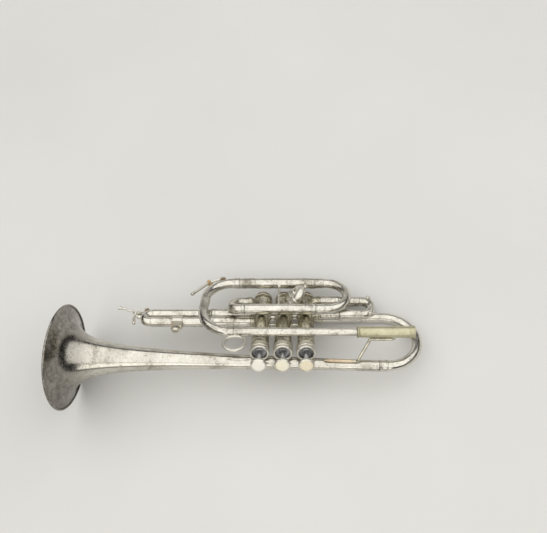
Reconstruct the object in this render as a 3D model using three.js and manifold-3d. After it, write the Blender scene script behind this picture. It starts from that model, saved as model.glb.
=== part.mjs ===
// A cornet lying on its left side: bell at -X, mouthpiece receiver at +X, finger buttons at -Y.
// Units are millimetres. Every piece is drawn in the instrument's own frame, where X runs along the
// bell, the valves stand along Y with their buttons at -Y, and Z points to the player's right.
// The outer group then lays the instrument on the table at Z = 0.
import * as THREE from 'three';
import Module from 'manifold-3d';
import { mergeVertices, toCreasedNormals } from 'three/addons/utils/BufferGeometryUtils.js';

const wasm = await Module();
wasm.setup();

// ---------------------------------------------------------------- driving dimensions
const GAP = 0.35;                       // running gap between pieces that touch or slide
const TUBE_SIDES = 10;
const VALVE_SIDES = 14;

// how the instrument lies: turned about X, then about Y, then lifted
const REST_ROLL = -30.023;              // degrees
const REST_PITCH = 5.142;               // degrees
const REST_SHIFT = [46.609, 20.221, 34.291];

const VALVE_PITCH = 26;
const VALVE_X = [VALVE_PITCH, 0, -VALVE_PITCH];   // first, second, third valve
const CASING_R = 9.8;
const CASING_BORE = 8.6;
const CASING_TOP = -50;
const CASING_END = 43.5;
const PISTON_R = CASING_BORE - GAP;
const PISTON_TOP = -17;
const PISTON_END = 30;
const GUIDE_TOP = -24;                  // the fixed guide that the spring stands on
const FLANGE_TOP = -46.4;               // the stem flange that the spring lifts
const SPINDLE_R = 3;
const CAP_FACE = -56.5;
const CAP_R = 11;
const STEM_R = 2.3;
const BUTTON_TOP = -76;
const BUTTON_R = 9;
const BUTTON_LENGTH = 5;
const BUTTON_WELL = 1.6;                // depth of the well that the stem screws into
const PEARL_R = 7.2;
const FELT_R = 5.6;
const FELT_LENGTH = 2.2;

const TUBE_R = 5.5;                     // moving slide legs
const TUBE_BORE = 4.8;
const SLEEVE_BORE = TUBE_R + GAP;
const SLEEVE_R = 6.4;

const RIGHT_Z = 17.2;                   // plane of the leadpipe, front bend and tuning slide
const LEAD_Y = -39.5;
const LEAD_R = 4.6;
const LOOP_Y = 53.4;
const LOWER_Y = 1.6;
const LOOP_X = -55;                     // where the leadpipe and upper sleeve meet the front bend
const LOOP_FRONT_X = -93.5;
const FRONT_LOWER_R = 37.5;
const FRONT_UPPER_R = 31;
const ENTRY_BEND_X = -45;
const RECEIVER_X = 82.8;
const RECEIVER_END = 147;
const RECEIVER_R = 6.3;
const TUNING_JOINT_X = 37.5;
const TUNING_BEND_X = 49.5;

const BELL_Z = -19;
const BELL_RIM = new THREE.Vector3(-249, -40.6, BELL_Z);
const BELL_TAIL = new THREE.Vector3(108, -55.4, BELL_Z);
const BELL_RIM_R = 59.2;
const BELL_FLARE = 0.62;
const BELL_FLARE_LENGTH = 8.9;
const BELL_WALL = 0.9;
const BOW_TOP = { y: 18.5, z: -9.5 };

const ENTRY_LEG = [24, 10];             // [y, z] of the tube that returns to the third valve
const ENTRY_PORT = [27, 3];
const THIRD_Y = [-0.6, 13.8];
const THIRD_SLEEVE_END = -86;
const THIRD_BEND_X = -158;
const THIRD_MIDDLE_Y = (THIRD_Y[0] + THIRD_Y[1]) / 2;
const THIRD_REACH = (THIRD_Y[1] - THIRD_Y[0]) / 2 + TUBE_R;   // outer radius of its bow
const THIRD_NIPPLE_ANGLE = 62;          // degrees round the bow
const THIRD_NIPPLE = 1.8;
const LYRE_X = -125;                    // middle of the lyre box
const LYRE_Z = 2;
const LYRE_LENGTH = 12;
const FIRST_LEGS = [[9.5, 3], [33, 4.4]];   // [y, z] of the two legs
const FIRST_SLEEVE_END = 66;
const FIRST_BEND_X = 93;
const SECOND_Y = [19.5, 33.5];
const SECOND_ANGLE = 51;                // degrees from +X towards +Z
const SECOND_SLEEVE_END = 21;
const SECOND_BEND = 25.5;

const PORT_R = TUBE_R + 0.9;
const STAY_R = 1.6;
const EAR_R = 2.2;                      // water key saddles
const AXLE_R = 0.7;
const SADDLE_R = 1.3;

// ---------------------------------------------------------------- materials
function metal(color, roughness) {
  return new THREE.MeshStandardMaterial({ color, roughness, metalness: 1 });
}
const NICKEL = metal(0xc9c8c0, 0.24);
const WORN = metal(0xbcb7a6, 0.34);
const PALE_BRASS = metal(0xd2c68c, 0.38);
const BRASS = metal(0xb98f4e, 0.4);
const STEEL = metal(0x8d8f92, 0.35);
const PEARL = new THREE.MeshStandardMaterial({ color: 0xefe8cf, roughness: 0.3, metalness: 0 });
const FELT = new THREE.MeshStandardMaterial({ color: 0x232225, roughness: 0.95, metalness: 0 });
const CORK = new THREE.MeshStandardMaterial({ color: 0xb08a58, roughness: 0.9, metalness: 0 });

// ---------------------------------------------------------------- solids
const v = (x, y, z) => new THREE.Vector3(x, y, z);

// Skins a surface over rings of points. A ring of one point is an apex. A closed skin joins the last
// ring back to the first, which makes the wall of a hollow piece.
function skin(rings, closed) {
  const positions = [];
  const starts = [];
  for (const ring of rings) {
    starts.push(positions.length / 3);
    for (const point of ring) positions.push(point.x, point.y, point.z);
  }
  const index = [];
  const last = closed ? rings.length : rings.length - 1;
  for (let i = 0; i < last; i += 1) {
    const j = (i + 1) % rings.length;
    const sides = Math.max(rings[i].length, rings[j].length);
    for (let k = 0; k < sides; k += 1) {
      const a = starts[i] + (k % rings[i].length);
      const b = starts[i] + ((k + 1) % rings[i].length);
      const c = starts[j] + ((k + 1) % rings[j].length);
      const d = starts[j] + (k % rings[j].length);
      if (rings[i].length > 1) index.push(a, b, c);
      if (rings[j].length > 1) index.push(a, c, d);
    }
  }
  const geometry = new THREE.BufferGeometry();
  geometry.setAttribute('position', new THREE.Float32BufferAttribute(positions, 3));
  geometry.setIndex(index);
  return facingOut(geometry);
}

function signedVolume(geometry) {
  const p = geometry.attributes.position;
  const index = geometry.index.array;
  const [a, b, c] = [v(0, 0, 0), v(0, 0, 0), v(0, 0, 0)];
  let sum = 0;
  for (let i = 0; i < index.length; i += 3) {
    a.fromBufferAttribute(p, index[i]);
    b.fromBufferAttribute(p, index[i + 1]);
    c.fromBufferAttribute(p, index[i + 2]);
    sum += a.dot(b.cross(c));
  }
  return sum / 6;
}

function facingOut(geometry) {
  if (signedVolume(geometry) < 0) {
    const index = geometry.index.array;
    for (let i = 0; i < index.length; i += 3) [index[i], index[i + 1]] = [index[i + 1], index[i]];
  }
  return geometry;
}

// The frames carried along a path without twist.
function framesAlong(path) {
  const frames = [];
  let side = null;
  const end = path.length - 1;
  for (let i = 0; i <= end; i += 1) {
    const before = path[Math.max(i - 1, 0)];
    const after = path[Math.min(i + 1, end)];
    const along = after.clone().sub(before).normalize();
    if (!side) side = Math.abs(along.z) < 0.9 ? v(0, 0, 1) : v(0, 1, 0);
    side = side.clone().addScaledVector(along, -side.dot(along)).normalize();
    frames.push({ at: path[i], side, up: along.clone().cross(side) });
  }
  return frames;
}

function ringAt(frame, radius, sides) {
  if (radius <= 0) return [frame.at.clone()];
  const ring = [];
  for (let k = 0; k < sides; k += 1) {
    const angle = (2 * Math.PI * k) / sides;
    ring.push(frame.at.clone()
      .addScaledVector(frame.side, radius * Math.cos(angle))
      .addScaledVector(frame.up, radius * Math.sin(angle)));
  }
  return ring;
}

const radiusAt = (radius, i) => (Array.isArray(radius) ? radius[i] : radius);

function rod(path, radius, sides = TUBE_SIDES) {
  const frames = framesAlong(path);
  const rings = frames.map((frame, i) => ringAt(frame, radiusAt(radius, i), sides));
  return skin([[frames[0].at], ...rings, [frames[frames.length - 1].at]], false);
}

function pipe(path, radius, bore, innerPath = path, sides = TUBE_SIDES) {
  const outer = framesAlong(path).map((frame, i) => ringAt(frame, radiusAt(radius, i), sides));
  const inner = framesAlong(innerPath).map((frame, i) => ringAt(frame, radiusAt(bore, i), sides));
  return skin([...outer, ...inner.reverse()], true);
}

// Turns a profile of [distance along, radius] pairs about the line from `from` towards `towards`. A
// profile that keeps off the axis closes on itself and makes a hollow piece.
function turned(profile, from, towards, sides = 18) {
  const points = profile.map(([distance, radius]) => new THREE.Vector2(radius, distance));
  if (profile[0][1] > 0) points.push(points[0].clone());
  const along = towards.clone().sub(from).normalize();
  const side = Math.abs(along.z) < 0.9 ? v(0, 0, 1) : v(0, 1, 0);
  side.addScaledVector(along, -side.dot(along)).normalize();
  const geometry = new THREE.LatheGeometry(points, sides);
  geometry.applyMatrix4(new THREE.Matrix4().makeBasis(along.clone().cross(side), along, side));
  geometry.translate(from.x, from.y, from.z);
  return facingOut(geometry);
}

function block(size, centre) {
  const geometry = new THREE.BoxGeometry(size.x, size.y, size.z);
  geometry.translate(centre.x, centre.y, centre.z);
  return geometry;
}

function toManifold(geometry) {
  const bare = geometry.clone();
  bare.deleteAttribute('normal');
  bare.deleteAttribute('uv');
  const merged = mergeVertices(bare, 1e-4);
  return new wasm.Manifold(new wasm.Mesh({
    numProp: 3,
    vertProperties: new Float32Array(merged.attributes.position.array),
    triVerts: new Uint32Array(merged.index.array),
  }));
}

function fromManifold(manifold) {
  const mesh = manifold.getMesh();
  const geometry = new THREE.BufferGeometry();
  geometry.setAttribute('position', new THREE.Float32BufferAttribute(mesh.vertProperties, 3));
  geometry.setIndex(new THREE.Uint32BufferAttribute(mesh.triVerts, 1));
  return geometry;
}

function joined(added, removed = []) {
  let result = toManifold(added[0]);
  for (const geometry of added.slice(1)) result = result.add(toManifold(geometry));
  for (const geometry of removed) result = result.subtract(toManifold(geometry));
  return fromManifold(result);
}

// ---------------------------------------------------------------- paths
// Points on a turn about `centre`, starting at `from` and sweeping towards `towards`.
function turn(centre, from, towards, degrees, steps) {
  const radius = from.distanceTo(centre);
  const first = from.clone().sub(centre).normalize();
  const second = towards.clone().normalize();
  const points = [];
  for (let i = 0; i <= steps; i += 1) {
    const angle = THREE.MathUtils.degToRad((degrees * i) / steps);
    points.push(centre.clone()
      .addScaledVector(first, radius * Math.cos(angle))
      .addScaledVector(second, radius * Math.sin(angle)));
  }
  return points;
}

function chain(...pieces) {
  const path = [];
  for (const piece of pieces) {
    for (const point of piece) {
      const last = path[path.length - 1];
      if (!last || last.distanceTo(point) > 0.01) path.push(point);
    }
  }
  return path;
}

function eased(from, along, to, steps = 3) {
  const curve = new THREE.QuadraticBezierCurve3(from, along, to);
  return curve.getPoints(steps);
}

// A curve that ends with a short straight piece, so that its end face is square to the tube.
function easedTo(from, along, to) {
  const back = along.clone().sub(to).normalize();
  return [...eased(from, along, to.clone().addScaledVector(back, 1.5)), to];
}

// A hollow U of tube: out along `out` from the start of leg one, round, and back along leg two.
// Both legs carry a thicker collar from `collarStart` up to the bend.
function uTube(legOne, legTwo, out, straightLength, collarStart, steps) {
  const collarR = TUBE_R + 0.8;
  const chamfer = 0.4;
  const on = (leg, distance) => leg.clone().addScaledVector(out, distance);
  const centre = on(legOne, straightLength).lerp(on(legTwo, straightLength), 0.5);
  const bend = turn(centre, on(legOne, straightLength), out, 180, steps);
  const collar = [
    [0, TUBE_R], [collarStart, TUBE_R], [collarStart + chamfer, collarR],
    [straightLength - 1.5, collarR], [straightLength - 1, TUBE_R],
  ];
  const path = [
    ...collar.map(([distance]) => on(legOne, distance)), ...bend,
    ...collar.map(([distance]) => on(legTwo, distance)).reverse(),
  ];
  const radii = [
    ...collar.map(([, radius]) => radius), ...bend.map(() => TUBE_R),
    ...collar.map(([, radius]) => radius).reverse(),
  ];
  return pipe(path, radii, TUBE_BORE, [legOne, ...bend, legTwo]);
}

// ---------------------------------------------------------------- scene
const instrument = new THREE.Group();
instrument.name = 'cornet';

function place(name, geometry, material) {
  const mesh = new THREE.Mesh(toCreasedNormals(geometry, 0.7), material);
  mesh.name = name;
  instrument.add(mesh);
  return mesh;
}

// ---------------------------------------------------------------- bell and bell bow
function bellRadius(distance) {
  return BELL_RIM_R * (BELL_FLARE_LENGTH / (BELL_FLARE_LENGTH + distance)) ** BELL_FLARE;
}

function bellAxis(x) {
  return BELL_RIM.clone().lerp(BELL_TAIL, (x - BELL_RIM.x) / (BELL_TAIL.x - BELL_RIM.x));
}

function bellRadiusAt(x) {
  return Math.max(bellRadius(x - BELL_RIM.x), TUBE_R + BELL_WALL);
}

function addBell() {
  const length = BELL_RIM.distanceTo(BELL_TAIL);
  const stations = 11;
  const outer = [];
  const inner = [];
  for (let i = 1; i <= stations; i += 1) {
    const distance = length * (i / stations) ** 2.6;
    const radius = Math.max(bellRadius(distance), TUBE_R + BELL_WALL);
    outer.push([distance, radius]);
    inner.push([distance, radius - BELL_WALL]);
  }
  const rim = [
    [-0.2, BELL_RIM_R - 2.2], [-1.5, BELL_RIM_R - 0.6], [-1.5, BELL_RIM_R + 0.8],
    [-0.2, BELL_RIM_R + 1.6], [1.0, BELL_RIM_R + 1.0],
  ];
  place('bell', turned([...rim, ...outer, ...inner.reverse()], BELL_RIM, BELL_TAIL, 28), NICKEL);
}

function addBellBow() {
  const start = BELL_TAIL.clone().add(v(2 * GAP, 0, 0));
  const ferrule = 9;
  const bendStart = start.clone().add(v(ferrule + 0.6, 0, 0));
  const bendEnd = v(bendStart.x, BOW_TOP.y, BOW_TOP.z);
  const centre = bendStart.clone().lerp(bendEnd, 0.5);
  const bend = turn(centre, bendStart, v(1, 0, 0), 180, 12);
  const port = v(VALVE_X[0] + CASING_R + 11, BOW_TOP.y, BOW_TOP.z);
  const wallR = TUBE_R + 0.7;
  const path = [start, start.clone().add(v(ferrule, 0, 0)), ...bend, port];
  const radii = [wallR + 1, wallR + 1, ...bend.map(() => wallR), wallR];
  place('bell_bow', pipe(path, radii, TUBE_BORE, [start, ...bend, port]), NICKEL);
}

// ---------------------------------------------------------------- leadpipe and main loop
function addLeadpipe() {
  const start = v(LOOP_X + GAP, LEAD_Y, RIGHT_Z);
  const end = v(RECEIVER_X + 18, LEAD_Y, RIGHT_Z);
  place('leadpipe', pipe([start, end], [LEAD_R + 0.6, LEAD_R - 0.4], [LEAD_R - 0.3, 3.4]), NICKEL);
}

function addReceiver() {
  const start = v(RECEIVER_X, LEAD_Y, RIGHT_Z);
  const end = v(RECEIVER_END, LEAD_Y, RIGHT_Z);
  const length = RECEIVER_END - RECEIVER_X;
  const step = 19;
  const seat = LEAD_R + GAP;
  place('mouthpiece_receiver', turned([
    [0, seat], [0, RECEIVER_R], [1.8, RECEIVER_R + 0.4], [2.2, RECEIVER_R - 0.5],
    [3.2, RECEIVER_R - 0.5], [3.6, RECEIVER_R - 0.1], [length - 1.2, RECEIVER_R + 0.3],
    [length - 1.2, RECEIVER_R + 0.8], [length, RECEIVER_R + 0.8], [length, 4.9],
    [step + 4, 4.2], [step, seat],
  ], start, end, 18), PALE_BRASS);
}

// The front bend's path in the right-hand plane, from the leadpipe up to the upper sleeve.
function frontBendPath() {
  const lowerCentre = v(LOOP_FRONT_X + FRONT_LOWER_R, LEAD_Y + FRONT_LOWER_R, RIGHT_Z);
  const upperCentre = v(LOOP_FRONT_X + FRONT_UPPER_R, LOOP_Y - FRONT_UPPER_R, RIGHT_Z);
  return chain(
    [v(LOOP_X, LEAD_Y, RIGHT_Z)],
    turn(lowerCentre, v(lowerCentre.x, LEAD_Y, RIGHT_Z), v(-1, 0, 0), 90, 7),
    turn(upperCentre, v(LOOP_FRONT_X, upperCentre.y, RIGHT_Z), v(0, 1, 0), 90, 6),
    [v(LOOP_X, LOOP_Y, RIGHT_Z)],
  );
}

function addFrontBend() {
  const path = frontBendPath();
  const last = path.length - 1;
  const radii = path.map((_, i) => LEAD_R + 0.6 + (0.7 * i) / last);
  const bores = radii.map((radius) => radius - 0.9);
  const ferruleR = SLEEVE_R + 0.4;
  const ferrule = [LOOP_X - 6.4, LOOP_X - 6].map((x) => v(x, LOOP_Y, RIGHT_Z));
  const outerPath = [...path.slice(0, last), ...ferrule, path[last]];
  const outerRadii = [...radii.slice(0, last), radii[last], ferruleR, ferruleR];
  place('front_bend', pipe(outerPath, outerRadii, bores, path), NICKEL);
}

// An outer slide sleeve along X with a raised band at its open end.
function sleeve(from, to) {
  const length = from.distanceTo(to);
  const lip = 4;
  return turned([
    [0, SLEEVE_BORE], [0, SLEEVE_R], [length - lip, SLEEVE_R], [length - lip, SLEEVE_R + 0.5],
    [length, SLEEVE_R + 0.5], [length, SLEEVE_BORE],
  ], from, to, TUBE_SIDES);
}

function addTuningSleeves() {
  const upperFrom = v(LOOP_X + GAP, LOOP_Y, RIGHT_Z);
  const upperTo = v(TUNING_JOINT_X, LOOP_Y, RIGHT_Z);
  place('tuning_sleeve_upper', sleeve(upperFrom, upperTo), NICKEL);
  const lowerFrom = v(ENTRY_BEND_X, LOWER_Y, RIGHT_Z);
  const lowerTo = v(TUNING_JOINT_X, LOWER_Y, RIGHT_Z);
  place('tuning_sleeve_lower', sleeve(lowerFrom, lowerTo), NICKEL);
}

function addTuningSlide() {
  const reach = 48;
  const startX = TUNING_JOINT_X - reach;
  place('tuning_slide', uTube(
    v(startX, LOOP_Y, RIGHT_Z), v(startX, LOWER_Y, RIGHT_Z), v(1, 0, 0),
    TUNING_BEND_X - startX, reach + GAP, 12), NICKEL);
}

function addEntryBend() {
  const start = v(ENTRY_BEND_X - GAP, LOWER_Y, RIGHT_Z);
  const bendStart = v(start.x - 4, LOWER_Y, RIGHT_Z);
  const bendEnd = v(bendStart.x, ...ENTRY_LEG);
  const bend = turn(bendStart.clone().lerp(bendEnd, 0.5), bendStart, v(-1, 0, 0), 180, 10);
  const end = v(ENTRY_BEND_X + 2, ...ENTRY_LEG);
  const wallR = TUBE_R + 0.2;
  const path = [start, v(start.x - 3.6, LOWER_Y, RIGHT_Z), ...bend, end];
  const radii = [SLEEVE_R, SLEEVE_R, ...bend.map(() => wallR), wallR];
  place('third_valve_entry_bend', pipe(path, radii, TUBE_BORE, [start, ...bend, end]), NICKEL);
}

// ---------------------------------------------------------------- valves
function casingBody(x) {
  const top = v(x, CASING_TOP, 0);
  const length = CASING_END - CASING_TOP;
  return turned([
    [0, CASING_BORE], [0, CASING_R - 0.3], [4.2, CASING_R - 0.3], [4.2, CASING_R + 0.9],
    [6.4, CASING_R + 0.9], [6.8, CASING_R], [length - 3.6, CASING_R],
    [length - 3.6, CASING_R - 0.3], [length, CASING_R - 0.3], [length, CASING_BORE],
  ], top, v(x, CASING_END, 0), VALVE_SIDES);
}

function boreOf(x) {
  return rod([v(x, CASING_TOP - 2, 0), v(x, CASING_END + 2, 0)], CASING_BORE, VALVE_SIDES);
}

// A port tube soldered to a casing, following `path` from inside the wall outwards.
function port(path) {
  return { wall: rod(path, PORT_R), bore: rod(path, TUBE_BORE) };
}

function addCasing(index, ports) {
  const x = VALVE_X[index];
  const walls = ports.map((item) => item.wall);
  const bores = ports.map((item) => item.bore);
  place(`valve_casing_${index + 1}`, joined([casingBody(x), ...walls], [boreOf(x), ...bores]), WORN);
}

const secondOut = v(1, 0, 0).applyAxisAngle(v(0, 1, 0), THREE.MathUtils.degToRad(-SECOND_ANGLE));
const SECOND_START = CASING_R + 5;

function addCasings() {
  const wall = CASING_R - 2.2;
  const x1 = VALVE_X[0];
  const firstPorts = FIRST_LEGS.map(([y, z]) => port(easedTo(
    v(x1 + wall, y, z * 0.3), v(x1 + wall + 4, y, z), v(x1 + CASING_R + 8, y, z))));
  const bellPort = port(easedTo(
    v(x1 + wall - 1, BOW_TOP.y, -3.5), v(x1 + wall + 3, BOW_TOP.y, BOW_TOP.z),
    v(x1 + CASING_R + 11 - GAP, BOW_TOP.y, BOW_TOP.z)));
  addCasing(0, [...firstPorts, bellPort]);

  const secondPorts = SECOND_Y.map((y, i) => port(easedTo(
    secondOut.clone().multiplyScalar(wall).add(v(0, i ? 31 : y, 0)),
    secondOut.clone().multiplyScalar(wall + 3).add(v(0, y, 0)),
    secondOut.clone().multiplyScalar(SECOND_START).add(v(0, y, 0)))));
  addCasing(1, secondPorts);

  const x3 = VALVE_X[2];
  const thirdPorts = THIRD_Y.map((y) => port([
    v(x3 - wall, y, 0), v(x3 - CASING_R - 3 + GAP, y, 0)]));
  const entryPort = port(easedTo(
    v(x3 - wall, ...ENTRY_PORT), v(x3 - wall - 6, ...ENTRY_LEG),
    v(ENTRY_BEND_X + 2 + GAP, ...ENTRY_LEG)));
  addCasing(2, [...thirdPorts, entryPort]);
}

// The short tube and the solid stay between two neighbouring casings.
function addCrossovers() {
  const between = [[VALVE_X[0], VALVE_X[1], '12'], [VALVE_X[1], VALVE_X[2], '23']];
  for (const [right, left, name] of between) {
    const middle = (right + left) / 2;
    const half = VALVE_PITCH / 2 - CASING_R - 0.6;
    const tubeY = name === '12' ? 12 : 9;
    place(`crossover_tube_${name}`, turned([
      [0, 4.2], [0, 5.3], [half, 5.9], [2 * half, 5.3], [2 * half, 4.2],
    ], v(middle - half, tubeY, 0), v(middle + half, tubeY, 0), 14), NICKEL);
    place(`casing_stay_${name}`, turned([
      [0, 0], [0, 3.2], [half * 0.6, 1.9], [half * 1.4, 1.9], [2 * half, 3.2], [2 * half, 0],
    ], v(middle - half, -6.4, 0), v(middle + half, -6.4, 0), 10), NICKEL);
  }
}

function addValveCaps(index) {
  const x = VALVE_X[index];
  const number = index + 1;
  const neck = CASING_R - 0.3 + GAP;
  const topStart = v(x, CASING_TOP + 3.8, 0);
  const height = topStart.y - CAP_FACE;
  const dish = height - 3;
  place(`top_cap_${number}`, turned([
    [0, neck], [0, CAP_R], [height - 1, CAP_R], [height, CAP_R - 0.8], [height, CAP_R - 1.9],
    [dish, CAP_R - 2.3], [dish, STEM_R + GAP], [height - 4.6, STEM_R + GAP], [height - 4.6, neck],
  ], topStart, v(x, CAP_FACE, 0), VALVE_SIDES), NICKEL);
  const floor = 3.2 + GAP;
  place(`bottom_cap_${number}`, turned([
    [0, neck], [0, CAP_R], [4.8, CAP_R], [6.2, CAP_R - 2.2], [7.4, 3.2], [11.2, 2.8],
    [11.2, 0.9], [5.6, 0.9], [floor, CAP_R - 2.4], [floor, neck],
  ], v(x, CASING_END - 3.2, 0), v(x, CASING_END + 20, 0), VALVE_SIDES), NICKEL);
}

function addPiston(index) {
  const x = VALVE_X[index];
  const number = index + 1;
  const top = v(x, PISTON_TOP, 0);
  const length = PISTON_END - PISTON_TOP;
  const flange = FLANGE_TOP - PISTON_TOP;
  const stemTop = BUTTON_TOP + BUTTON_LENGTH - BUTTON_WELL - PISTON_TOP;
  const body = turned([
    [stemTop, 0], [stemTop, STEM_R], [flange, STEM_R], [flange, 6.8], [flange + 1.2, 6.8],
    [flange + 1.2, SPINDLE_R], [0, SPINDLE_R], [0, PISTON_R - 0.8], [0.8, PISTON_R],
    [length - 0.8, PISTON_R], [length, PISTON_R - 0.8], [length, 6.3], [length - 4, 6.3],
    [length - 4, 0],
  ], top, v(x, PISTON_END, 0), VALVE_SIDES);
  const holes = [-7, 4.5, 16].map((y, i) => rod([
    v(x - 12, y + (i - 1) * 1.5, 0), v(x + 12, y - (i - 1) * 1.5, 0)], 4.2, 6));
  place(`piston_${number}`, joined([body], holes), STEEL);
  place(`valve_guide_${number}`, turned([
    [0, SPINDLE_R + GAP], [0, CASING_BORE - GAP], [1.6, CASING_BORE - GAP], [1.6, SPINDLE_R + GAP],
  ], v(x, GUIDE_TOP, 0), top, VALVE_SIDES), BRASS);
}

function addButton(index) {
  const x = VALVE_X[index];
  const number = index + 1;
  const top = v(x, BUTTON_TOP, 0);
  const down = v(x, 0, 0);
  const bore = STEM_R + GAP;
  const seat = BUTTON_LENGTH - BUTTON_WELL - GAP;
  const lip = PEARL_R + GAP;
  place(`finger_button_${number}`, turned([
    [0, lip], [0, BUTTON_R - 0.5], [0.9, BUTTON_R], [3.4, BUTTON_R],
    [BUTTON_LENGTH, 5], [BUTTON_LENGTH, bore], [seat, bore], [seat, 0.6], [1.4, 0.6], [1.4, lip],
  ], top, down, VALVE_SIDES), NICKEL);
  place(`button_pearl_${number}`, turned([
    [1.05, 0], [1.05, PEARL_R], [0.1, PEARL_R], [-0.45, 5.1], [-0.65, 0],
  ], top, down, VALVE_SIDES), PEARL);
  place(`stem_felt_${number}`, turned([
    [0, bore], [0, FELT_R], [FELT_LENGTH, FELT_R], [FELT_LENGTH, bore],
  ], v(x, BUTTON_TOP + BUTTON_LENGTH + GAP, 0), down, 14), FELT);
}

function addSpring(index) {
  const x = VALVE_X[index];
  const wire = 0.4;
  const from = FLANGE_TOP + 1.2 + GAP + wire;
  const to = GUIDE_TOP - GAP - wire;
  const turns = 5;
  const perTurn = 7;
  const path = [];
  for (let i = 0; i <= turns * perTurn; i += 1) {
    const angle = (2 * Math.PI * i) / perTurn;
    const y = from + ((to - from) * i) / (turns * perTurn);
    path.push(v(x + 4.8 * Math.cos(angle), y, 4.8 * Math.sin(angle)));
  }
  place(`valve_spring_${index + 1}`, rod(path, wire, 3), STEEL);
}

// ---------------------------------------------------------------- valve slides
// Two sleeves side by side, joined by a small stay near their open end.
function sleevePair(fromOne, toOne, fromTwo, toTwo) {
  const stayOne = toOne.clone().lerp(fromOne, 0.22);
  const stayTwo = toTwo.clone().lerp(fromTwo, 0.22);
  const stay = rod([stayOne, stayTwo], STAY_R);
  const bores = [[fromOne, toOne], [fromTwo, toTwo]].map(([from, to]) => {
    const past = to.clone().sub(from).setLength(1);
    return rod([from.clone().sub(past), to.clone().add(past)], SLEEVE_BORE);
  });
  return joined([sleeve(fromOne, toOne), sleeve(fromTwo, toTwo), stay], bores);
}

function ball(centre, radius) {
  const profile = [];
  const steps = 5;
  for (let i = 0; i <= steps; i += 1) {
    const angle = (Math.PI * i) / steps;
    profile.push([-radius * Math.cos(angle), i % steps ? radius * Math.sin(angle) : 0]);
  }
  return turned(profile, centre, centre.clone().add(v(0, 1, 0)), 10);
}

function addFirstSlide() {
  const [lower, upper] = FIRST_LEGS;
  const x1 = VALVE_X[0] + CASING_R + 8 + GAP;
  const at = (leg, x) => v(x, leg[0], leg[1]);
  place('first_slide_sleeves', sleevePair(
    at(upper, x1), at(upper, FIRST_SLEEVE_END), at(lower, x1), at(lower, FIRST_SLEEVE_END)), NICKEL);
  const inside = x1 + 3;
  const bow = uTube(at(upper, inside), at(lower, inside), v(1, 0, 0),
    FIRST_BEND_X - inside, FIRST_SLEEVE_END - inside + GAP, 9);
  const across = at(upper, 0).sub(at(lower, 0));
  const bowR = across.length() / 2;
  const middle = at(lower, FIRST_BEND_X + bowR - 0.8).addScaledVector(across, 0.5);
  const unit = across.clone().normalize();
  const barHalf = 14;
  const endOne = middle.clone().addScaledVector(unit, barHalf).add(v(-1.5, 0, 4));
  const endTwo = middle.clone().addScaledVector(unit, -barHalf).add(v(-1.5, 0, 4));
  const lift = middle.clone().add(v(2.6, 0, 6));
  const bar = rod([endOne, lift, endTwo], 1.4, 10);
  place('first_slide', joined([bow, bar, ball(endOne, 2.7), ball(endTwo, 2.7)]), NICKEL);
}

function addSecondSlide() {
  const at = (y, distance) => secondOut.clone().multiplyScalar(distance).add(v(0, y, 0));
  const [one, two] = SECOND_Y;
  const start = SECOND_START + GAP;
  place('second_slide_sleeves', sleevePair(
    at(two, start), at(two, SECOND_SLEEVE_END), at(one, start), at(one, SECOND_SLEEVE_END)), NICKEL);
  const inside = start + 0.8;
  const bow = uTube(at(two, inside), at(one, inside), secondOut,
    SECOND_BEND - inside, SECOND_SLEEVE_END - inside + GAP, 8);
  const tip = at((one + two) / 2, SECOND_BEND + (two - one) / 2 + TUBE_R - 0.8);
  const knob = turned([
    [0, 0], [0, 1.6], [2.2, 1.3], [3, 2.6], [4.6, 2.9], [5.8, 1.9], [6, 0],
  ], tip, tip.clone().add(secondOut), 14);
  place('second_slide', joined([bow, knob]), NICKEL);
}

// A point about the centre of the third slide's bow, in its plane, at an angle above its line.
function thirdBow(degrees, radius) {
  const angle = THREE.MathUtils.degToRad(degrees);
  return v(
    THIRD_BEND_X - radius * Math.cos(angle), THIRD_MIDDLE_Y + radius * Math.sin(angle), 0);
}

// The boss and the finger hook past the end of the third slide's bow.
function thirdSlideHook() {
  const tipX = THIRD_BEND_X - THIRD_REACH + 0.8;
  const bossY = THIRD_MIDDLE_Y + 0.8;
  const boss = turned([
    [0, 0], [0, 2.4], [1.5, 2.7], [3.5, 2.7], [4.5, 1.6], [4.5, 0],
  ], v(tipX, bossY, 1), v(tipX - 10, bossY, 1), 16);
  const hookX = tipX - 8.2;
  const hookY = THIRD_MIDDLE_Y + 1.6;
  const hook = rod(chain(
    [v(tipX - 1, hookY - 0.2, 1.2), v(tipX - 4, hookY, 1.6)],
    eased(v(tipX - 4, hookY, 1.6), v(hookX, hookY, 2), v(hookX + 0.8, hookY - 5.6, 2), 5),
    [v(hookX + 2.2, hookY - 14.2, 2)],
  ), 1.9, 10);
  return [boss, hook];
}

// The lyre box on its clamp under the third slide's lower leg, and what is cut out of it.
function lyreBox() {
  const legY = THIRD_Y[0];
  const ends = [v(LYRE_X - LYRE_LENGTH / 2, legY, 0), v(LYRE_X + LYRE_LENGTH / 2, legY, 0)];
  const clampR = TUBE_R + 1.7;
  const clamp = turned([
    [0, TUBE_R], [0, clampR], [LYRE_LENGTH, clampR], [LYRE_LENGTH, TUBE_R],
  ], ...ends, 20);
  const box = block(v(LYRE_LENGTH, 9, 7), v(LYRE_X, legY - 9, LYRE_Z));
  const slot = block(v(LYRE_LENGTH + 2, 3, 4.2), v(LYRE_X, legY - 10.6, LYRE_Z));
  const thread = rod([v(LYRE_X, legY - 16, LYRE_Z), v(LYRE_X, legY - 11, LYRE_Z)], 1.5, 12);
  const past = v(1, 0, 0);
  const legBore = rod([ends[0].sub(past), ends[1].add(past)], TUBE_BORE, 16);
  return { added: [clamp, box], removed: [slot, thread, legBore] };
}

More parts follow.
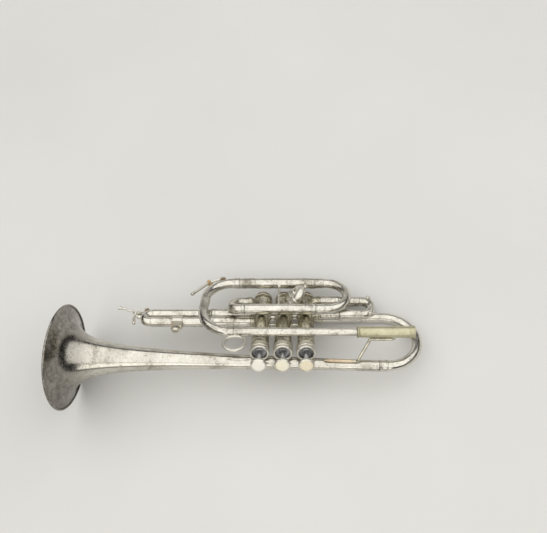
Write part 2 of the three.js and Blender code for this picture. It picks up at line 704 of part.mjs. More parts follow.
function addThirdSlide() {
  const x3 = VALVE_X[2] - CASING_R - 3;
  const [lower, upper] = THIRD_Y;
  place('third_slide_sleeves', sleevePair(
    v(x3, upper, 0), v(THIRD_SLEEVE_END, upper, 0),
    v(x3, lower, 0), v(THIRD_SLEEVE_END, lower, 0)), NICKEL);
  const inside = x3 - 3;
  const bow = uTube(v(inside, upper, 0), v(inside, lower, 0), v(-1, 0, 0),
    inside - THIRD_BEND_X, inside - THIRD_SLEEVE_END + GAP, 8);
  const nipple = turned([
    [-0.5, 1.1], [-0.5, 3], [0.6, 2.5], [THIRD_NIPPLE, 2.1], [THIRD_NIPPLE, 1.1],
  ], thirdBow(THIRD_NIPPLE_ANGLE, THIRD_REACH), thirdBow(THIRD_NIPPLE_ANGLE, THIRD_REACH + 5), 12);
  const lyre = lyreBox();
  place('third_slide',
    joined([bow, ...thirdSlideHook(), nipple, ...lyre.added], lyre.removed), NICKEL);
  place('lyre_screw', turned([
    [0, 0], [0, 1.15], [3.4, 1.15], [3.4, 3.7], [3.9, 4.2], [7.1, 4.2], [7.6, 3.7], [7.6, 0],
  ], v(LYRE_X, lower - 11.4, LYRE_Z), v(LYRE_X, lower - 30, LYRE_Z), 16), NICKEL);
}

// ---------------------------------------------------------------- water keys
// A water key turns on a pin above a tube. `out` points away from the tube at the pin and `base` is
// the height of the pin above the tube. The arm reaches a cork over the drain nipple at `cork`,
// whose own outward direction is `corkOut`. The tail passes the points `tail` and ends in a touch
// pad of length `padLength`.
function addWaterKey(prefix, key) {
  const { pin, out, base, cork, corkOut } = key;
  const width = cork.clone().sub(pin).cross(out).normalize();
  const at = (o, w) => pin.clone().addScaledVector(out, o).addScaledVector(width, w);
  const hubHalf = 1.7;
  const earInner = hubHalf + GAP;
  const earOuter = earInner + 1.2;
  const legW = earInner + 0.6;
  const ears = [1, -1].flatMap((side) => [
    turned([[earInner, 0], [earInner, EAR_R], [earOuter, EAR_R], [earOuter, 0]],
      pin, at(0, side), 10),
    rod([at(-base - 0.1, side * legW), at(0, side * legW)], [1.1, 0.58], 6),
  ]);
  const foot = rod([at(-base, -earOuter), at(-base, earOuter)], SADDLE_R, 8);
  const axle = rod([at(0, -earInner - 0.5), at(0, earInner + 0.5)], AXLE_R, 8);
  place(`${prefix}_saddle`, joined([...ears, foot, axle]), BRASS);
  const hub = turned([[-hubHalf, 0], [-hubHalf, 2], [hubHalf, 2], [hubHalf, 0]], pin, at(0, 1), 12);
  const clear = rod([at(0, -3), at(0, 3)], AXLE_R + GAP, 12);
  place(`${prefix}_lever`, joined([hub, ...leverArms(key), corkCup(key)], [clear]), NICKEL);
  place(`${prefix}_cork`, turned([
    [-0.6 - GAP, 0], [-0.6 - GAP, key.cupR - 0.8], [-2.6, key.cupR - 0.8], [-2.6, 0],
  ], cork, cork.clone().add(corkOut), 12), CORK);
}

// The arm to the cork, the tail and its touch pad.
function leverArms({ pin, out, cork, corkOut, tail, tailR, padLength }) {
  const bend = pin.clone().lerp(cork, 0.55).addScaledVector(out, 1.8);
  const touch = tail[tail.length - 1];
  const beyond = touch.clone().sub(tail[tail.length - 2] || pin).normalize();
  const padEnds = [-1, padLength].map((reach) => touch.clone().addScaledVector(beyond, reach));
  return [
    rod([pin, bend, cork.clone().addScaledVector(corkOut, 0.9)], [1.5, 1.4, 1.5], 8),
    rod([pin, ...tail], [1.4, ...tail.map(() => tailR)], 8),
    rod(padEnds, [tailR + 0.1, 2.2], 10),
  ];
}

function corkCup({ cork, corkOut, cupR }) {
  return turned([
    [0.9, 0], [0.9, cupR - 1], [0.2, cupR], [-1.6, cupR], [-1.6, cupR - 0.4],
    [-0.6, cupR - 0.4], [-0.6, 0],
  ], cork, cork.clone().add(corkOut), 14);
}

// The main water key sits on the outside of the front bend's upper corner.
function addMainWaterKey() {
  const corner = v(LOOP_FRONT_X + FRONT_UPPER_R, LOOP_Y - FRONT_UPPER_R, RIGHT_Z);
  const tubeTop = FRONT_UPPER_R + LEAD_R + 1.3;
  const out = (degrees) => v(-1, 0, 0).applyAxisAngle(
    v(0, 0, 1), -THREE.MathUtils.degToRad(degrees));
  const polar = (degrees, radius) => corner.clone().addScaledVector(out(degrees), radius);
  const nippleAngle = 70;
  const pinAngle = 46;
  const nippleHeight = 2.4;
  const saddleBase = 6;
  place('main_water_nipple', turned([
    [GAP, 1.1], [GAP, 3.4], [0.9, 2.6], [nippleHeight, 2.1], [nippleHeight, 1.1],
  ], polar(nippleAngle, tubeTop), polar(nippleAngle, tubeTop + 5), 14), NICKEL);
  addWaterKey('main_water_key', {
    pin: polar(pinAngle, tubeTop + GAP + SADDLE_R + saddleBase),
    out: out(pinAngle),
    base: saddleBase,
    cork: polar(nippleAngle, tubeTop + nippleHeight + GAP + 2.6),
    corkOut: out(nippleAngle),
    cupR: 3.9,
    tail: [v(-108.8, 34, RIGHT_Z)],
    tailR: 1.5,
    padLength: 5,
  });
}

// The third slide's key sits on the outer corner of its bow and points past it.
function addThirdWaterKey() {
  const pinAngle = 22;
  const saddleBase = 3.6;
  const out = (degrees) => thirdBow(degrees, 1).sub(thirdBow(degrees, 0));
  const pin = thirdBow(pinAngle, THIRD_REACH + GAP + SADDLE_R + saddleBase);
  const past = (x, y, z) => pin.clone().add(v(-x, y, z));
  addWaterKey('third_water_key', {
    pin,
    out: out(pinAngle),
    base: saddleBase,
    cork: thirdBow(THIRD_NIPPLE_ANGLE, THIRD_REACH + THIRD_NIPPLE + GAP + 2.6),
    corkOut: out(THIRD_NIPPLE_ANGLE),
    cupR: 3.2,
    tail: [past(4.8, 0.6, 0.7), past(6.2, 0.7, 4.8), past(12, 0.7, 5.8), past(14.4, 0.7, 7.9),
      past(16.4, 0.7, 8.4)],
    tailR: 1.1,
    padLength: 6,
  });
}

// ---------------------------------------------------------------- braces and ring
function addPinkyRing() {
  const wire = 1.9;
  const ringR = 11.6;
  const centre = v(-52.7, LEAD_Y - LEAD_R - 0.6 - GAP - ringR - wire, RIGHT_Z);
  const points = turn(centre, centre.clone().add(v(ringR, 0, 0)), v(0, 1, 0), 360, 20);
  const frames = points.slice(0, 20).map((point) => {
    const side = point.clone().sub(centre).normalize();
    return { at: point, side, up: v(0, 0, 1) };
  });
  const ring = skin(frames.map((frame) => ringAt(frame, wire, 7)), true);
  place('pinky_ring', ring, NICKEL);
}

// The brace between the receiver and the bell tube: two long feet and a slanting strut.
function addReceiverBrace() {
  const lean = v(0, BELL_TAIL.y - LEAD_Y, BELL_Z - RIGHT_Z).normalize();
  const bellSide = v(0, -0.3, 0.954).normalize();
  const footR = 1.5;
  const upper = (x) => v(x, LEAD_Y, RIGHT_Z).addScaledVector(lean, RECEIVER_R + 0.3 + GAP + footR);
  const lower = (x) => bellAxis(x).addScaledVector(bellSide, bellRadiusAt(x) + 2 * GAP + footR);
  const strut = rod([
    upper(108), upper(101), upper(96.5).addScaledVector(lean, 1.6),
    lower(83).addScaledVector(bellSide, 1.6), lower(78.5), lower(70),
  ], 1.7, 8);
  const feet = [[upper(97), upper(126)], [lower(46), lower(82)]].map((ends) => rod(ends, footR, 8));
  place('receiver_brace', joined([...feet, strut]), WORN);
}

// Short posts that hold the bell to the outer valve casings, and the loop's two tubes to each other.
function addPosts() {
  for (const [x, name] of [[VALVE_X[0], 'rear'], [VALVE_X[2], 'front']]) {
    const bell = bellAxis(x);
    const clearance = rod([bellAxis(x - 12), bellAxis(x + 12)], bellRadiusAt(x - 6) + GAP);
    const casing = rod([v(x, -50, 0), v(x, 0, 0)], CASING_R + GAP, 20);
    const post = rod([v(x, -25, 0), bell], 2, 10);
    place(`bell_post_${name}`, joined([post], [clearance, casing]), NICKEL);
  }
  const x = -6;
  const half = SLEEVE_R + GAP;
  const length = LOOP_Y - LOWER_Y - 2 * half;
  place('loop_post', turned([
    [0, 0], [0, 2.4], [1.2, 1.5], [length - 1.2, 1.5], [length, 2.4], [length, 0],
  ], v(x, LOWER_Y + half, RIGHT_Z), v(x, LOOP_Y, RIGHT_Z), 10), NICKEL);
}

addBell();
addBellBow();
addLeadpipe();
addReceiver();
addFrontBend();
addTuningSleeves();
addTuningSlide();
addEntryBend();
addCasings();
addCrossovers();
for (const index of [0, 1, 2]) {
  addValveCaps(index);
  addPiston(index);
  addButton(index);
  addSpring(index);
}
addFirstSlide();
addSecondSlide();
addThirdSlide();
addPinkyRing();
addMainWaterKey();
addThirdWaterKey();
addReceiverBrace();
addPosts();

const group = new THREE.Group();
group.name = 'cornet_at_rest';
instrument.rotation.set(
  THREE.MathUtils.degToRad(REST_ROLL), THREE.MathUtils.degToRad(REST_PITCH), 0, 'YXZ');
instrument.position.set(...REST_SHIFT);
group.add(instrument);

export default group;
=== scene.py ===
import math

import bpy
import numpy as np
from mathutils import Matrix, Vector


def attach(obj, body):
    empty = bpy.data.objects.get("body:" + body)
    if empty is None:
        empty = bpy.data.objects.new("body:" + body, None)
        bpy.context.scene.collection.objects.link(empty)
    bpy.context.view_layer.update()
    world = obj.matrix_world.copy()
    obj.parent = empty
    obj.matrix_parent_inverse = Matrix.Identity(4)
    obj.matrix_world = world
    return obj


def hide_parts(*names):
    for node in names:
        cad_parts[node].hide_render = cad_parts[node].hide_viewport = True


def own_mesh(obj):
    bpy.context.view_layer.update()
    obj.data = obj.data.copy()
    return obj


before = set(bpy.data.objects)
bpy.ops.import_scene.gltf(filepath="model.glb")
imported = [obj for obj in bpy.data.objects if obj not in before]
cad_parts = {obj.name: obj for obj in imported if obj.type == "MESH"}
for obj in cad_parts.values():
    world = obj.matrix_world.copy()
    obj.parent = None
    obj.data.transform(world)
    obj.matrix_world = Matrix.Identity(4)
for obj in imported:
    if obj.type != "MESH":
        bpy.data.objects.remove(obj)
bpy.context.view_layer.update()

# ------------------------------------------------------------------ driving dimensions
# Millimetres in the instrument's own frame: X along the bell towards the receiver, Y along the
# valves away from their buttons, Z to the player's right. They are the CAD model's dimensions.
REST_ROLL = -30.023
REST_PITCH = 5.142
REST_SHIFT = (46.609, 20.221, 34.291)
GAP = 0.35

VALVE_X = (26.0, 0.0, -26.0)
CASING_R = 9.8
CASING_BORE = 8.6
CASING_TOP = -50.0
CASING_END = 43.5
PISTON_R = 8.25
PISTON_TOP = -17.0
PISTON_END = 30.0
GUIDE_TOP = -24.0
FLANGE_TOP = -46.4
CAP_FACE = -56.5
CAP_R = 11.0
STEM_R = 2.3
BUTTON_TOP = -76.0
BUTTON_R = 9.0
BUTTON_LENGTH = 5.0
BUTTON_WELL = 1.6
PEARL_R = 7.35

TUBE_R = 5.5
TUBE_BORE = 4.8
SLEEVE_BORE = 5.85
SLEEVE_R = 6.4
RIGHT_Z = 17.2
LEAD_Y = -39.5
LEAD_R = 4.6
LOOP_Y = 53.4
LOWER_Y = 1.6
LOOP_X = -55.0
LOOP_FRONT_X = -93.5
FRONT_LOWER_R = 37.5
FRONT_UPPER_R = 31.0
ENTRY_BEND_X = -45.0
RECEIVER_X = 82.8
RECEIVER_END = 147.0
RECEIVER_R = 6.3
TUNING_JOINT_X = 37.5
TUNING_BEND_X = 49.5

BELL_Z = -19.0
BELL_RIM = np.array((-249.0, -40.6, BELL_Z))
BELL_TAIL = np.array((108.0, -55.4, BELL_Z))
BELL_RIM_R = 59.2
BELL_FLARE = 0.62
BELL_FLARE_LENGTH = 8.9
BELL_WALL = 0.9
BOW_TOP_Y = 18.5
BOW_TOP_Z = -9.5

ENTRY_LEG = (24.0, 10.0)
ENTRY_PORT = (27.0, 3.0)
THIRD_Y = (-0.6, 13.8)
THIRD_SLEEVE_END = -86.0
THIRD_BEND_X = -158.0
FIRST_LEGS = ((9.5, 3.0), (33.0, 4.4))
FIRST_SLEEVE_END = 66.0
FIRST_BEND_X = 93.0
SECOND_Y = (19.5, 33.5)
SECOND_ANGLE = math.radians(51)
SECOND_SLEEVE_END = 21.0
SECOND_BEND = 25.5

TUBE_SIDES = 64
BELL_SIDES = 192
VALVE_SIDES = 96
ROUND_SIDES = 32
KNURL_SIDES = 288
CAP_KNURLS = (72, 0.28)


def v(x, y, z):
    return np.array((x, y, z), float)


def unit(a):
    return a / np.linalg.norm(a)


X, Y, Z = v(1, 0, 0), v(0, 1, 0), v(0, 0, 1)
TO_FRAME = (
    Matrix.Scale(0.001, 4)
    @ Matrix.Translation(REST_SHIFT)
    @ Matrix.Rotation(math.radians(REST_PITCH), 4, "Y")
    @ Matrix.Rotation(math.radians(REST_ROLL), 4, "X")
)


def in_frame(point):
    """A point of the instrument's frame, in the row frame and in metres."""
    return TO_FRAME @ Vector(point)


# ------------------------------------------------------------------ paths
def turn(centre, start, towards, degrees, steps):
    """Points on a turn about centre, from start and sweeping towards a direction."""
    radius = np.linalg.norm(start - centre)
    first, second = unit(start - centre), unit(towards)
    angles = np.radians(np.linspace(0, degrees, steps + 1))
    return [centre + radius * (math.cos(a) * first + math.sin(a) * second) for a in angles]


def eased(start, along, end, steps=12):
    """A quadratic curve from start to end, pulled towards along."""
    ts = np.linspace(0, 1, steps + 1)
    return [(1 - t) ** 2 * start + 2 * t * (1 - t) * along + t * t * end for t in ts]


def eased_to(start, along, end):
    """The same curve with a short straight end, square to the tube."""
    back = unit(along - end)
    return eased(start, along, end + 1.5 * back) + [end]


def rounded_corners(points, reach):
    """The points with each inner corner replaced by a short curve."""
    result = [points[0]]
    for before, corner, after in zip(points, points[1:], points[2:]):
        result += eased(corner + reach * unit(before - corner), corner,
                        corner + reach * unit(after - corner), 8)
    return result + [points[-1]]


def chain(*pieces):
    points = []
    for piece in pieces:
        for point in piece:
            if not points or np.linalg.norm(points[-1] - point) > 0.01:
                points.append(np.asarray(point, float))
    return points


class Path:
    """A line through points that carries a frame without twist along it."""

    def __init__(self, *points):
        self.points = np.array(points, float)
        steps = np.linalg.norm(np.diff(self.points, axis=0), axis=1)
        self.s = np.concatenate(([0], np.cumsum(steps)))
        self.length = self.s[-1]
        last = len(points) - 1
        self.along = np.array([
            unit(self.points[min(i + 1, last)] - self.points[max(i - 1, 0)])
            for i in range(last + 1)
        ])
        side = Z if abs(self.along[0][2]) < 0.9 else Y
        sides = []
        for along in self.along:
            side = unit(side - along * side.dot(along))
            sides.append(side)
        self.side = np.array(sides)

    def at(self, s):
        """The point, side and up directions at a distance along the line, or past its ends."""
        i = int(np.clip(np.searchsorted(self.s, s) - 1, 0, len(self.s) - 2))
        t = (s - self.s[i]) / (self.s[i + 1] - self.s[i])
        inside = min(max(t, 0), 1)
        along = unit(self.along[i] * (1 - inside) + self.along[i + 1] * inside)
        side = self.side[i] * (1 - inside) + self.side[i + 1] * inside
        side = unit(side - along * side.dot(along))
        point = self.points[i] + (self.points[i + 1] - self.points[i]) * t
        return point, side, np.cross(along, side)


def line(start, towards):
    """A straight line that starts at one point and heads for another."""
    return Path(start, np.asarray(start) + unit(np.asarray(towards) - start))


# ------------------------------------------------------------------ shells
class Shell:
    """Corners and faces of one closed surface, with a grain coordinate at each corner."""

    def __init__(self, corners, faces, grain=None):
        self.corners = np.asarray(corners, float)
        self.faces = faces
        self.grain = self.corners if grain is None else np.asarray(grain, float)


NEAR_ZERO = 1e-6
SHARP_BEND = math.radians(20)


def softened(profile, closed, reach):
    """The profile with each of its sharp corners rounded."""
    points = [np.array(p, float) for p in profile]
    result = []
    for i, point in enumerate(points):
        a = points[i - 1] - point
        b = points[(i + 1) % len(points)] - point
        la, lb = np.linalg.norm(a), np.linalg.norm(b)
        end = not closed and i in (0, len(points) - 1)
        if end or min(la, lb) < NEAR_ZERO:
            result.append(point)
            continue
        bend = math.acos(np.clip(-a.dot(b) / (la * lb), -1, 1))
        if bend < SHARP_BEND:
            result.append(point)
            continue
        cut = min(reach, 0.45 * la, 0.45 * lb)
        first, last = point + a / la * cut, point + b / lb * cut
        for t in (0, 1 / 3, 2 / 3, 1):
            result.append((1 - t) ** 2 * first + 2 * t * (1 - t) * point + t * t * last)
    return result


def sweep(path, profile, sides=TUBE_SIDES, reach=0.3, ridges=None):
    """Turns a profile of (distance along, radius) pairs about a path. A profile that starts on the
    path is a solid piece; one that keeps off it closes on itself. Ridges are (from, to, count,
    depth) of the knurling on the outermost band."""
    closed = profile[0][1] > 0
    loop = softened(profile, closed, reach)
    rows = []
    for i in range(len(loop) if closed else len(loop) - 1):
        (s0, r0), (s1, r1) = loop[i], loop[(i + 1) % len(loop)]
        rows.append((s0, r0))
        stations = [s for s in path.s[1:-1] if min(s0, s1) + 0.01 < s < max(s0, s1) - 0.01]
        for s in stations if s1 > s0 else stations[::-1]:
            rows.append((s, r0 + (r1 - r0) * (s - s0) / (s1 - s0)))
    if not closed:
        rows.append(tuple(loop[-1]))
    angles = np.linspace(0, 2 * math.pi, sides, endpoint=False)
    cosines, sines = np.cos(angles)[:, None], np.sin(angles)[:, None]
    corners, grain, starts, faces = [], [], [0], []
    crest = max(r for _, r in rows)
    for s, r in rows:
        point, side, up = path.at(s)
        single = r < NEAR_ZERO
        starts.append(starts[-1] + (1 if single else sides))
        if single:
            corners.append(point[None])
            grain.append(np.array([[0, 0, s]]))
            continue
        radii = np.full((sides, 1), r)
        if ridges and ridges[0] < s < ridges[1] and r > crest - 0.5:
            radii = r - ridges[3] * (0.5 + 0.5 * np.cos(angles * ridges[2]))[:, None] ** 2
        corners.append(point + radii * (cosines * side + sines * up))
        grain.append(np.hstack((radii * cosines, radii * sines, np.full((sides, 1), s))))
    around = np.arange(sides)
    after = (around + 1) % sides
    count = len(rows)
    for i in range(count if closed else count - 1):
        j = (i + 1) % count
        a, b = starts[i], starts[j]
        if rows[i][1] < NEAR_ZERO and rows[j][1] < NEAR_ZERO:
            continue
        if rows[i][1] < NEAR_ZERO:
            ring = (np.full(sides, a), b + after, b + around)
        elif rows[j][1] < NEAR_ZERO:
            ring = (a + around, a + after, np.full(sides, b))
        else:
            ring = (a + around, a + after, b + after, b + around)
        faces.extend(np.stack(ring, axis=1).tolist())
    corners, grain = np.concatenate(corners), np.concatenate(grain)
    return Shell(corners, faces, grain)


def lathe(start, towards, profile, *settings, **named):
    """A profile turned about the line from start towards another point."""
    return sweep(line(start, towards), profile, *settings, **named)


def cylinder(path, start, end, radius, sides=VALVE_SIDES, reach=0.01):
    """A solid round bar between two distances along a path, or the tool for a hole."""
    return sweep(path, [(start, 0), (start, radius), (end, radius), (end, 0)], sides, reach)


def shifted(distance, radius, points):
    """Profile points that are given from a distance and a radius."""
    return [(distance + s, radius + r) for s, r in points]


def mirrored(half, length, *middle):
    """A profile of its first half, its middle points and the first half's mirror image."""
    return [*half, *middle, *((length - s, r) for s, r in reversed(half))]


def rod(path, radius, sides=ROUND_SIDES, reach=0.3):
    """A solid round bar. Radius is one number or a list of (distance, radius) pairs."""
    length = path.length
    middle = radius if isinstance(radius, (list, tuple)) else [(0, radius), (length, radius)]
    return sweep(path, [(0, 0), *middle, (length, 0)], sides, reach)


def ball(centre, radius, stretch=1.0, axis=Y):
    """A solid ball, stretched along an axis by a share."""
    angles = np.linspace(0, math.pi, 17)
    profile = [(-radius * stretch * math.cos(a), radius * math.sin(a)) for a in angles]
    profile[0] = (profile[0][0], 0)
    profile[-1] = (profile[-1][0], 0)
    return lathe(centre, centre + axis, profile, ROUND_SIDES)


def torus(centre, normal, ring_radius, wire, steps=96, sides=24):
    """A closed ring of round wire."""
    normal = unit(normal)
    first = unit(np.cross(normal, X if abs(normal[0]) < 0.9 else Y))
    second = np.cross(normal, first)
    corners, grain, faces = [], [], []
    for i in range(steps):
        a = 2 * math.pi * i / steps
        radial = math.cos(a) * first + math.sin(a) * second
        for k in range(sides):
            b = 2 * math.pi * k / sides
            offset = wire * math.cos(b) * radial + wire * math.sin(b) * normal
            corners.append(centre + ring_radius * radial + offset)
            grain.append((wire * math.cos(b), wire * math.sin(b), a * ring_radius))
            j, n = (i + 1) % steps, (k + 1) % sides
            faces.append((i * sides + k, j * sides + k, j * sides + n, i * sides + n))
    return Shell(corners, faces, grain)


def block(size, centre):
    corners = [
        centre + v(x * size[0], y * size[1], z * size[2]) / 2
        for x in (-1, 1) for y in (-1, 1) for z in (-1, 1)
    ]
    faces = [(0, 1, 3, 2), (4, 6, 7, 5), (0, 4, 5, 1), (2, 3, 7, 6), (0, 2, 6, 4), (1, 5, 7, 3)]
    return Shell(corners, faces)


# ------------------------------------------------------------------ meshes
def mesh_of(shells):
    """One mesh of several shells, each facing out."""
    corners, faces, grain, start = [], [], [], 0
    for shell in shells:
        p = shell.corners - shell.corners.mean(axis=0)
        fans = np.array([(*face, face[-1])[:4] for face in shell.faces])
        a, b, c, d = (p[fans[:, k]] for k in range(4))
        volume = np.sum(a * np.cross(b, c)) + np.sum(a * np.cross(c, d))
        order = 1 if volume > 0 else -1
        faces.extend([[start + i for i in face[::order]] for face in shell.faces])
        corners.append(shell.corners)
        grain.append(shell.grain)
        start += len(shell.corners)
    mesh = bpy.data.meshes.new("shape")
    mesh.from_pydata(np.concatenate(corners).tolist(), [], faces)
    layer = mesh.attributes.new("grain", "FLOAT_VECTOR", "POINT")
    layer.data.foreach_set("vector", np.concatenate(grain).astype(np.float32).ravel())
    return mesh


def evaluated(mesh, modifiers):
    """The mesh after modifiers, each a (type, settings) pair, with every helper removed."""
    scene = bpy.context.scene.collection
    base = bpy.data.objects.new("base", mesh)
    scene.objects.link(base)
    helpers = [base]
    for kind, settings in modifiers:
        made = base.modifiers.new(kind, kind)
        for key, value in settings.items():
            if key == "object":
                helper = bpy.data.objects.new("helper", value)
                scene.objects.link(helper)
                helpers.append(helper)
                value = helper
            setattr(made, key, value)
    graph = bpy.context.evaluated_depsgraph_get()
    result = bpy.data.meshes.new_from_object(base.evaluated_get(graph))
    for helper in helpers:
        bpy.data.objects.remove(helper)
    return result


def carved(solids, holes):
    """Closed shells united into one, with others cut out of it."""
    cuts = [("UNION", s) for s in solids[1:]] + [("DIFFERENCE", s) for s in holes]
    steps = [
        ("BOOLEAN", {"operation": way, "solver": "EXACT", "object": mesh_of([shell])})
        for way, shell in cuts
    ]
    return evaluated(mesh_of([solids[0]]), steps)


def fused(shells, voxel=0.24, passes=3):
    """Shells melted into one body with small fillets, as cast or soldered parts have."""
    return evaluated(mesh_of(shells), [
        ("REMESH", {"mode": "VOXEL", "voxel_size": voxel}),
        ("SMOOTH", {"factor": 0.5, "iterations": passes}),
    ])


def piece(name, shape, material, body, stands_for, slot, sharp):
    """Puts a shape into the row frame, gives it a material and lets it ride on a body."""
    mesh = shape if isinstance(shape, bpy.types.Mesh) else mesh_of([shape])
    mesh.name = name
    if "grain" not in mesh.attributes:
        where = np.zeros(len(mesh.vertices) * 3, np.float32)
        mesh.vertices.foreach_get("co", where)
        layer = mesh.attributes.new("grain", "FLOAT_VECTOR", "POINT")
        layer.data.foreach_set("vector", where)
    mesh.transform(TO_FRAME)
    mesh.shade_smooth()
    mesh.set_sharp_from_angle(angle=math.radians(sharp))
    mesh.materials.clear()
    mesh.materials.append(material)
    made = bpy.data.objects.new(name, mesh)
    bpy.context.scene.collection.objects.link(made)
    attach(made, body)
    if stands_for:
        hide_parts(*stands_for)
    return made


# ------------------------------------------------------------------ materials
BUMP_DEPTH = 0.0001


def node(tree, kind, inputs=None, **settings):
    made = tree.nodes.new("ShaderNode" + kind)
    for key, value in settings.items():
        setattr(made, key, value)
    for key, value in (inputs or {}).items():
        if isinstance(value, bpy.types.NodeSocket):
            tree.links.new(value, made.inputs[key])
        else:
            made.inputs[key].default_value = value
    return made


def new_material(name):
    material = bpy.data.materials.new(name)
    material.use_nodes = True
    material.node_tree.nodes.clear()
    return material, material.node_tree


def finish_material(material, tree, shader):
    output = node(tree, "OutputMaterial")
    tree.links.new(shader.outputs[0], output.inputs["Surface"])
    return material


def noise(where, scale, detail=4.0, rough=0.55, distortion=0.0):
    return node(where.id_data, "TexNoise", {
        "Vector": where, "Scale": scale, "Detail": detail, "Roughness": rough,
        "Distortion": distortion,
    }).outputs["Fac"]


def span(value, low, high, start=0.0, end=1.0):
    """Maps low..high onto start..end, held at both ends."""
    return node(value.id_data, "MapRange", {
        "Value": value, "From Min": low, "From Max": high, "To Min": start, "To Max": end,
    }).outputs["Result"]


def math_node(operation, a, b):
    return node(a.id_data, "Math", {0: a, 1: b}, operation=operation).outputs[0]


def plus(a, b):
    return math_node("ADD", a, b)


def times(a, b):
    return math_node("MULTIPLY", a, b)


def mix(factor, a, b):
    tree = factor.id_data
    made = tree.nodes.new("ShaderNodeMix")
    made.data_type = "RGBA"
    for index, value in ((0, factor), (6, a), (7, b)):
        if isinstance(value, bpy.types.NodeSocket):
            tree.links.new(value, made.inputs[index])
        else:
            made.inputs[index].default_value = value if index == 0 else (*value, 1.0)
    return made.outputs[2]


def plated(name, bright, dull, grime_and_shade, worn, roughness, tarnish=0.5, wear=0.6, speckle=0.5,
           joint_dirt_and_shade=0.8, flare_dark_reflection=None):
    """Old plating: clouded tarnish, fine pits, rubbed edges, dirt with painted shade in the joints,
    and on request a painted dark reflection near a bell's rim.
    """
    material, tree = new_material(name)
    where = node(tree, "TexCoord").outputs["Object"]
    grain = node(tree, "Attribute", attribute_name="grain").outputs["Vector"]
    stretched = node(tree, "Mapping", {"Vector": grain, "Scale": (6.0, 6.0, 0.18)})
    scratches = noise(stretched.outputs[0], 1.0, 5.0, 0.7)
    clouds = noise(where, 45.0, 6.0, 0.62, 0.4)
    patches = noise(where, 190.0, 5.0, 0.7, 0.8)
    flecks = noise(where, 620.0, 4.0, 0.65, 0.5)
    fine = noise(where, 1500.0, 3.0, 0.6)
    pits = node(tree, "TexVoronoi", {"Vector": where, "Scale": 420.0, "Randomness": 1.0})
    pit_near = span(pits.outputs["Distance"], 0.18, 0.36, 1.0, 0.0)
    pit = times(pit_near, span(patches, 0.48, 0.62))
    cover = plus(times(clouds, 0.55), times(patches, 0.45))
    tarnished = span(cover, 0.60 - 0.16 * tarnish, 0.74 - 0.16 * tarnish)
    fleck = times(span(flecks, 0.56, 0.66), span(cover, 0.40, 0.60, 0.15, 1.0))
    colour = mix(span(clouds, 0.35, 0.72), bright, dull)
    # Painted dark reflection: near the bell's rim the colour is pulled towards a near-black tone,
    # fading out with a wavy, mottled edge some 24 to 50 mm along.
    if flare_dark_reflection:
        start, end, dark_reflection_colour = flare_dark_reflection
        along = node(tree, "SeparateXYZ", {"Vector": grain}).outputs["Z"]
        wavy = plus(along, times(clouds, 26.0))
        near = span(wavy, start, end, 1.0, 0.0)
        near = times(near, span(patches, 0.32, 0.62, 0.95, 0.5))
        colour = mix(near, colour, dark_reflection_colour)
    colour = mix(times(tarnished, tarnish), colour, grime_and_shade)
    colour = mix(times(pit, speckle), colour, grime_and_shade)
    colour = mix(times(fleck, speckle), colour, grime_and_shade)
    edge = node(tree, "NewGeometry").outputs["Pointiness"]
    edge_rubbed = times(span(edge, 0.53, 0.60), span(patches, 0.40, 0.58))
    colour = mix(times(edge_rubbed, wear), colour, worn)
    # Ambient occlusion darkens the joints, crevices and gaps between parts: partly dirt held there,
    # partly painted shade.
    occlusion = node(tree, "AmbientOcclusion", {"Distance": 0.0022}, samples=6)
    held = span(occlusion.outputs["AO"], 0.30, 0.75, 1.0, 0.0)
    held = times(held, span(patches, 0.30, 0.55, 0.3 * joint_dirt_and_shade, joint_dirt_and_shade))
    colour = mix(held, colour, tuple(0.45 * c for c in grime_and_shade))
    rough = plus(span(scratches, 0.3, 0.75, 0.0, 0.08),
                 span(clouds, 0.35, 0.75, roughness - 0.04, roughness + 0.06))
    for amount, share in ((tarnished, 0.22 * tarnish), (held, 0.3), (pit, 0.3), (fleck, 0.25)):
        rough = plus(rough, times(amount, share))
    height = math_node("SUBTRACT", times(fine, 0.2), pit)
    for amount, share in ((scratches, 0.4), (patches, 1.6), (fleck, -0.5), (clouds, 2.0)):
        height = plus(height, times(amount, share))
    bump = node(tree, "Bump", {"Height": height, "Strength": 0.35, "Distance": BUMP_DEPTH})
    shader = node(tree, "BsdfPrincipled", {
        "Base Color": colour, "Metallic": 1.0, "Roughness": rough, "Normal": bump.outputs[0],
    })
    return finish_material(material, tree, shader)


def pearl(name, light, deep, stain):
    """Shell: soft layered clouds under a polished face, with yellowing in cloudy patches."""
    material, tree = new_material(name)
    where = node(tree, "TexCoord").outputs["Object"]
    layers = node(tree, "TexWave", {
        "Vector": where, "Scale": 95.0, "Distortion": 9.0, "Detail": 3.0, "Detail Scale": 1.4,
    }, wave_type="BANDS", bands_direction="DIAGONAL").outputs["Fac"]
    clouds = noise(where, 260.0, 4.0, 0.6, 1.2)
    colour = mix(span(layers, 0.2, 0.9, 0.0, 0.55), light, deep)
    colour = mix(span(clouds, 0.45, 0.75, 0.0, 0.7), colour, stain)
    height = plus(times(layers, 0.3), clouds)
    bump = node(tree, "Bump", {"Height": height, "Strength": 0.12, "Distance": BUMP_DEPTH})
    rough = span(clouds, 0.3, 0.7, 0.16, 0.34)
    shader = node(tree, "BsdfPrincipled", {
        "Base Color": colour, "Roughness": rough, "Normal": bump.outputs[0], "IOR": 1.53,
        "Coat Weight": 0.5, "Coat Roughness": 0.12, "Subsurface Weight": 0.12,
        "Subsurface Radius": (0.0012, 0.001, 0.0008), "Sheen Weight": 0.15,
    })
    return finish_material(material, tree, shader)


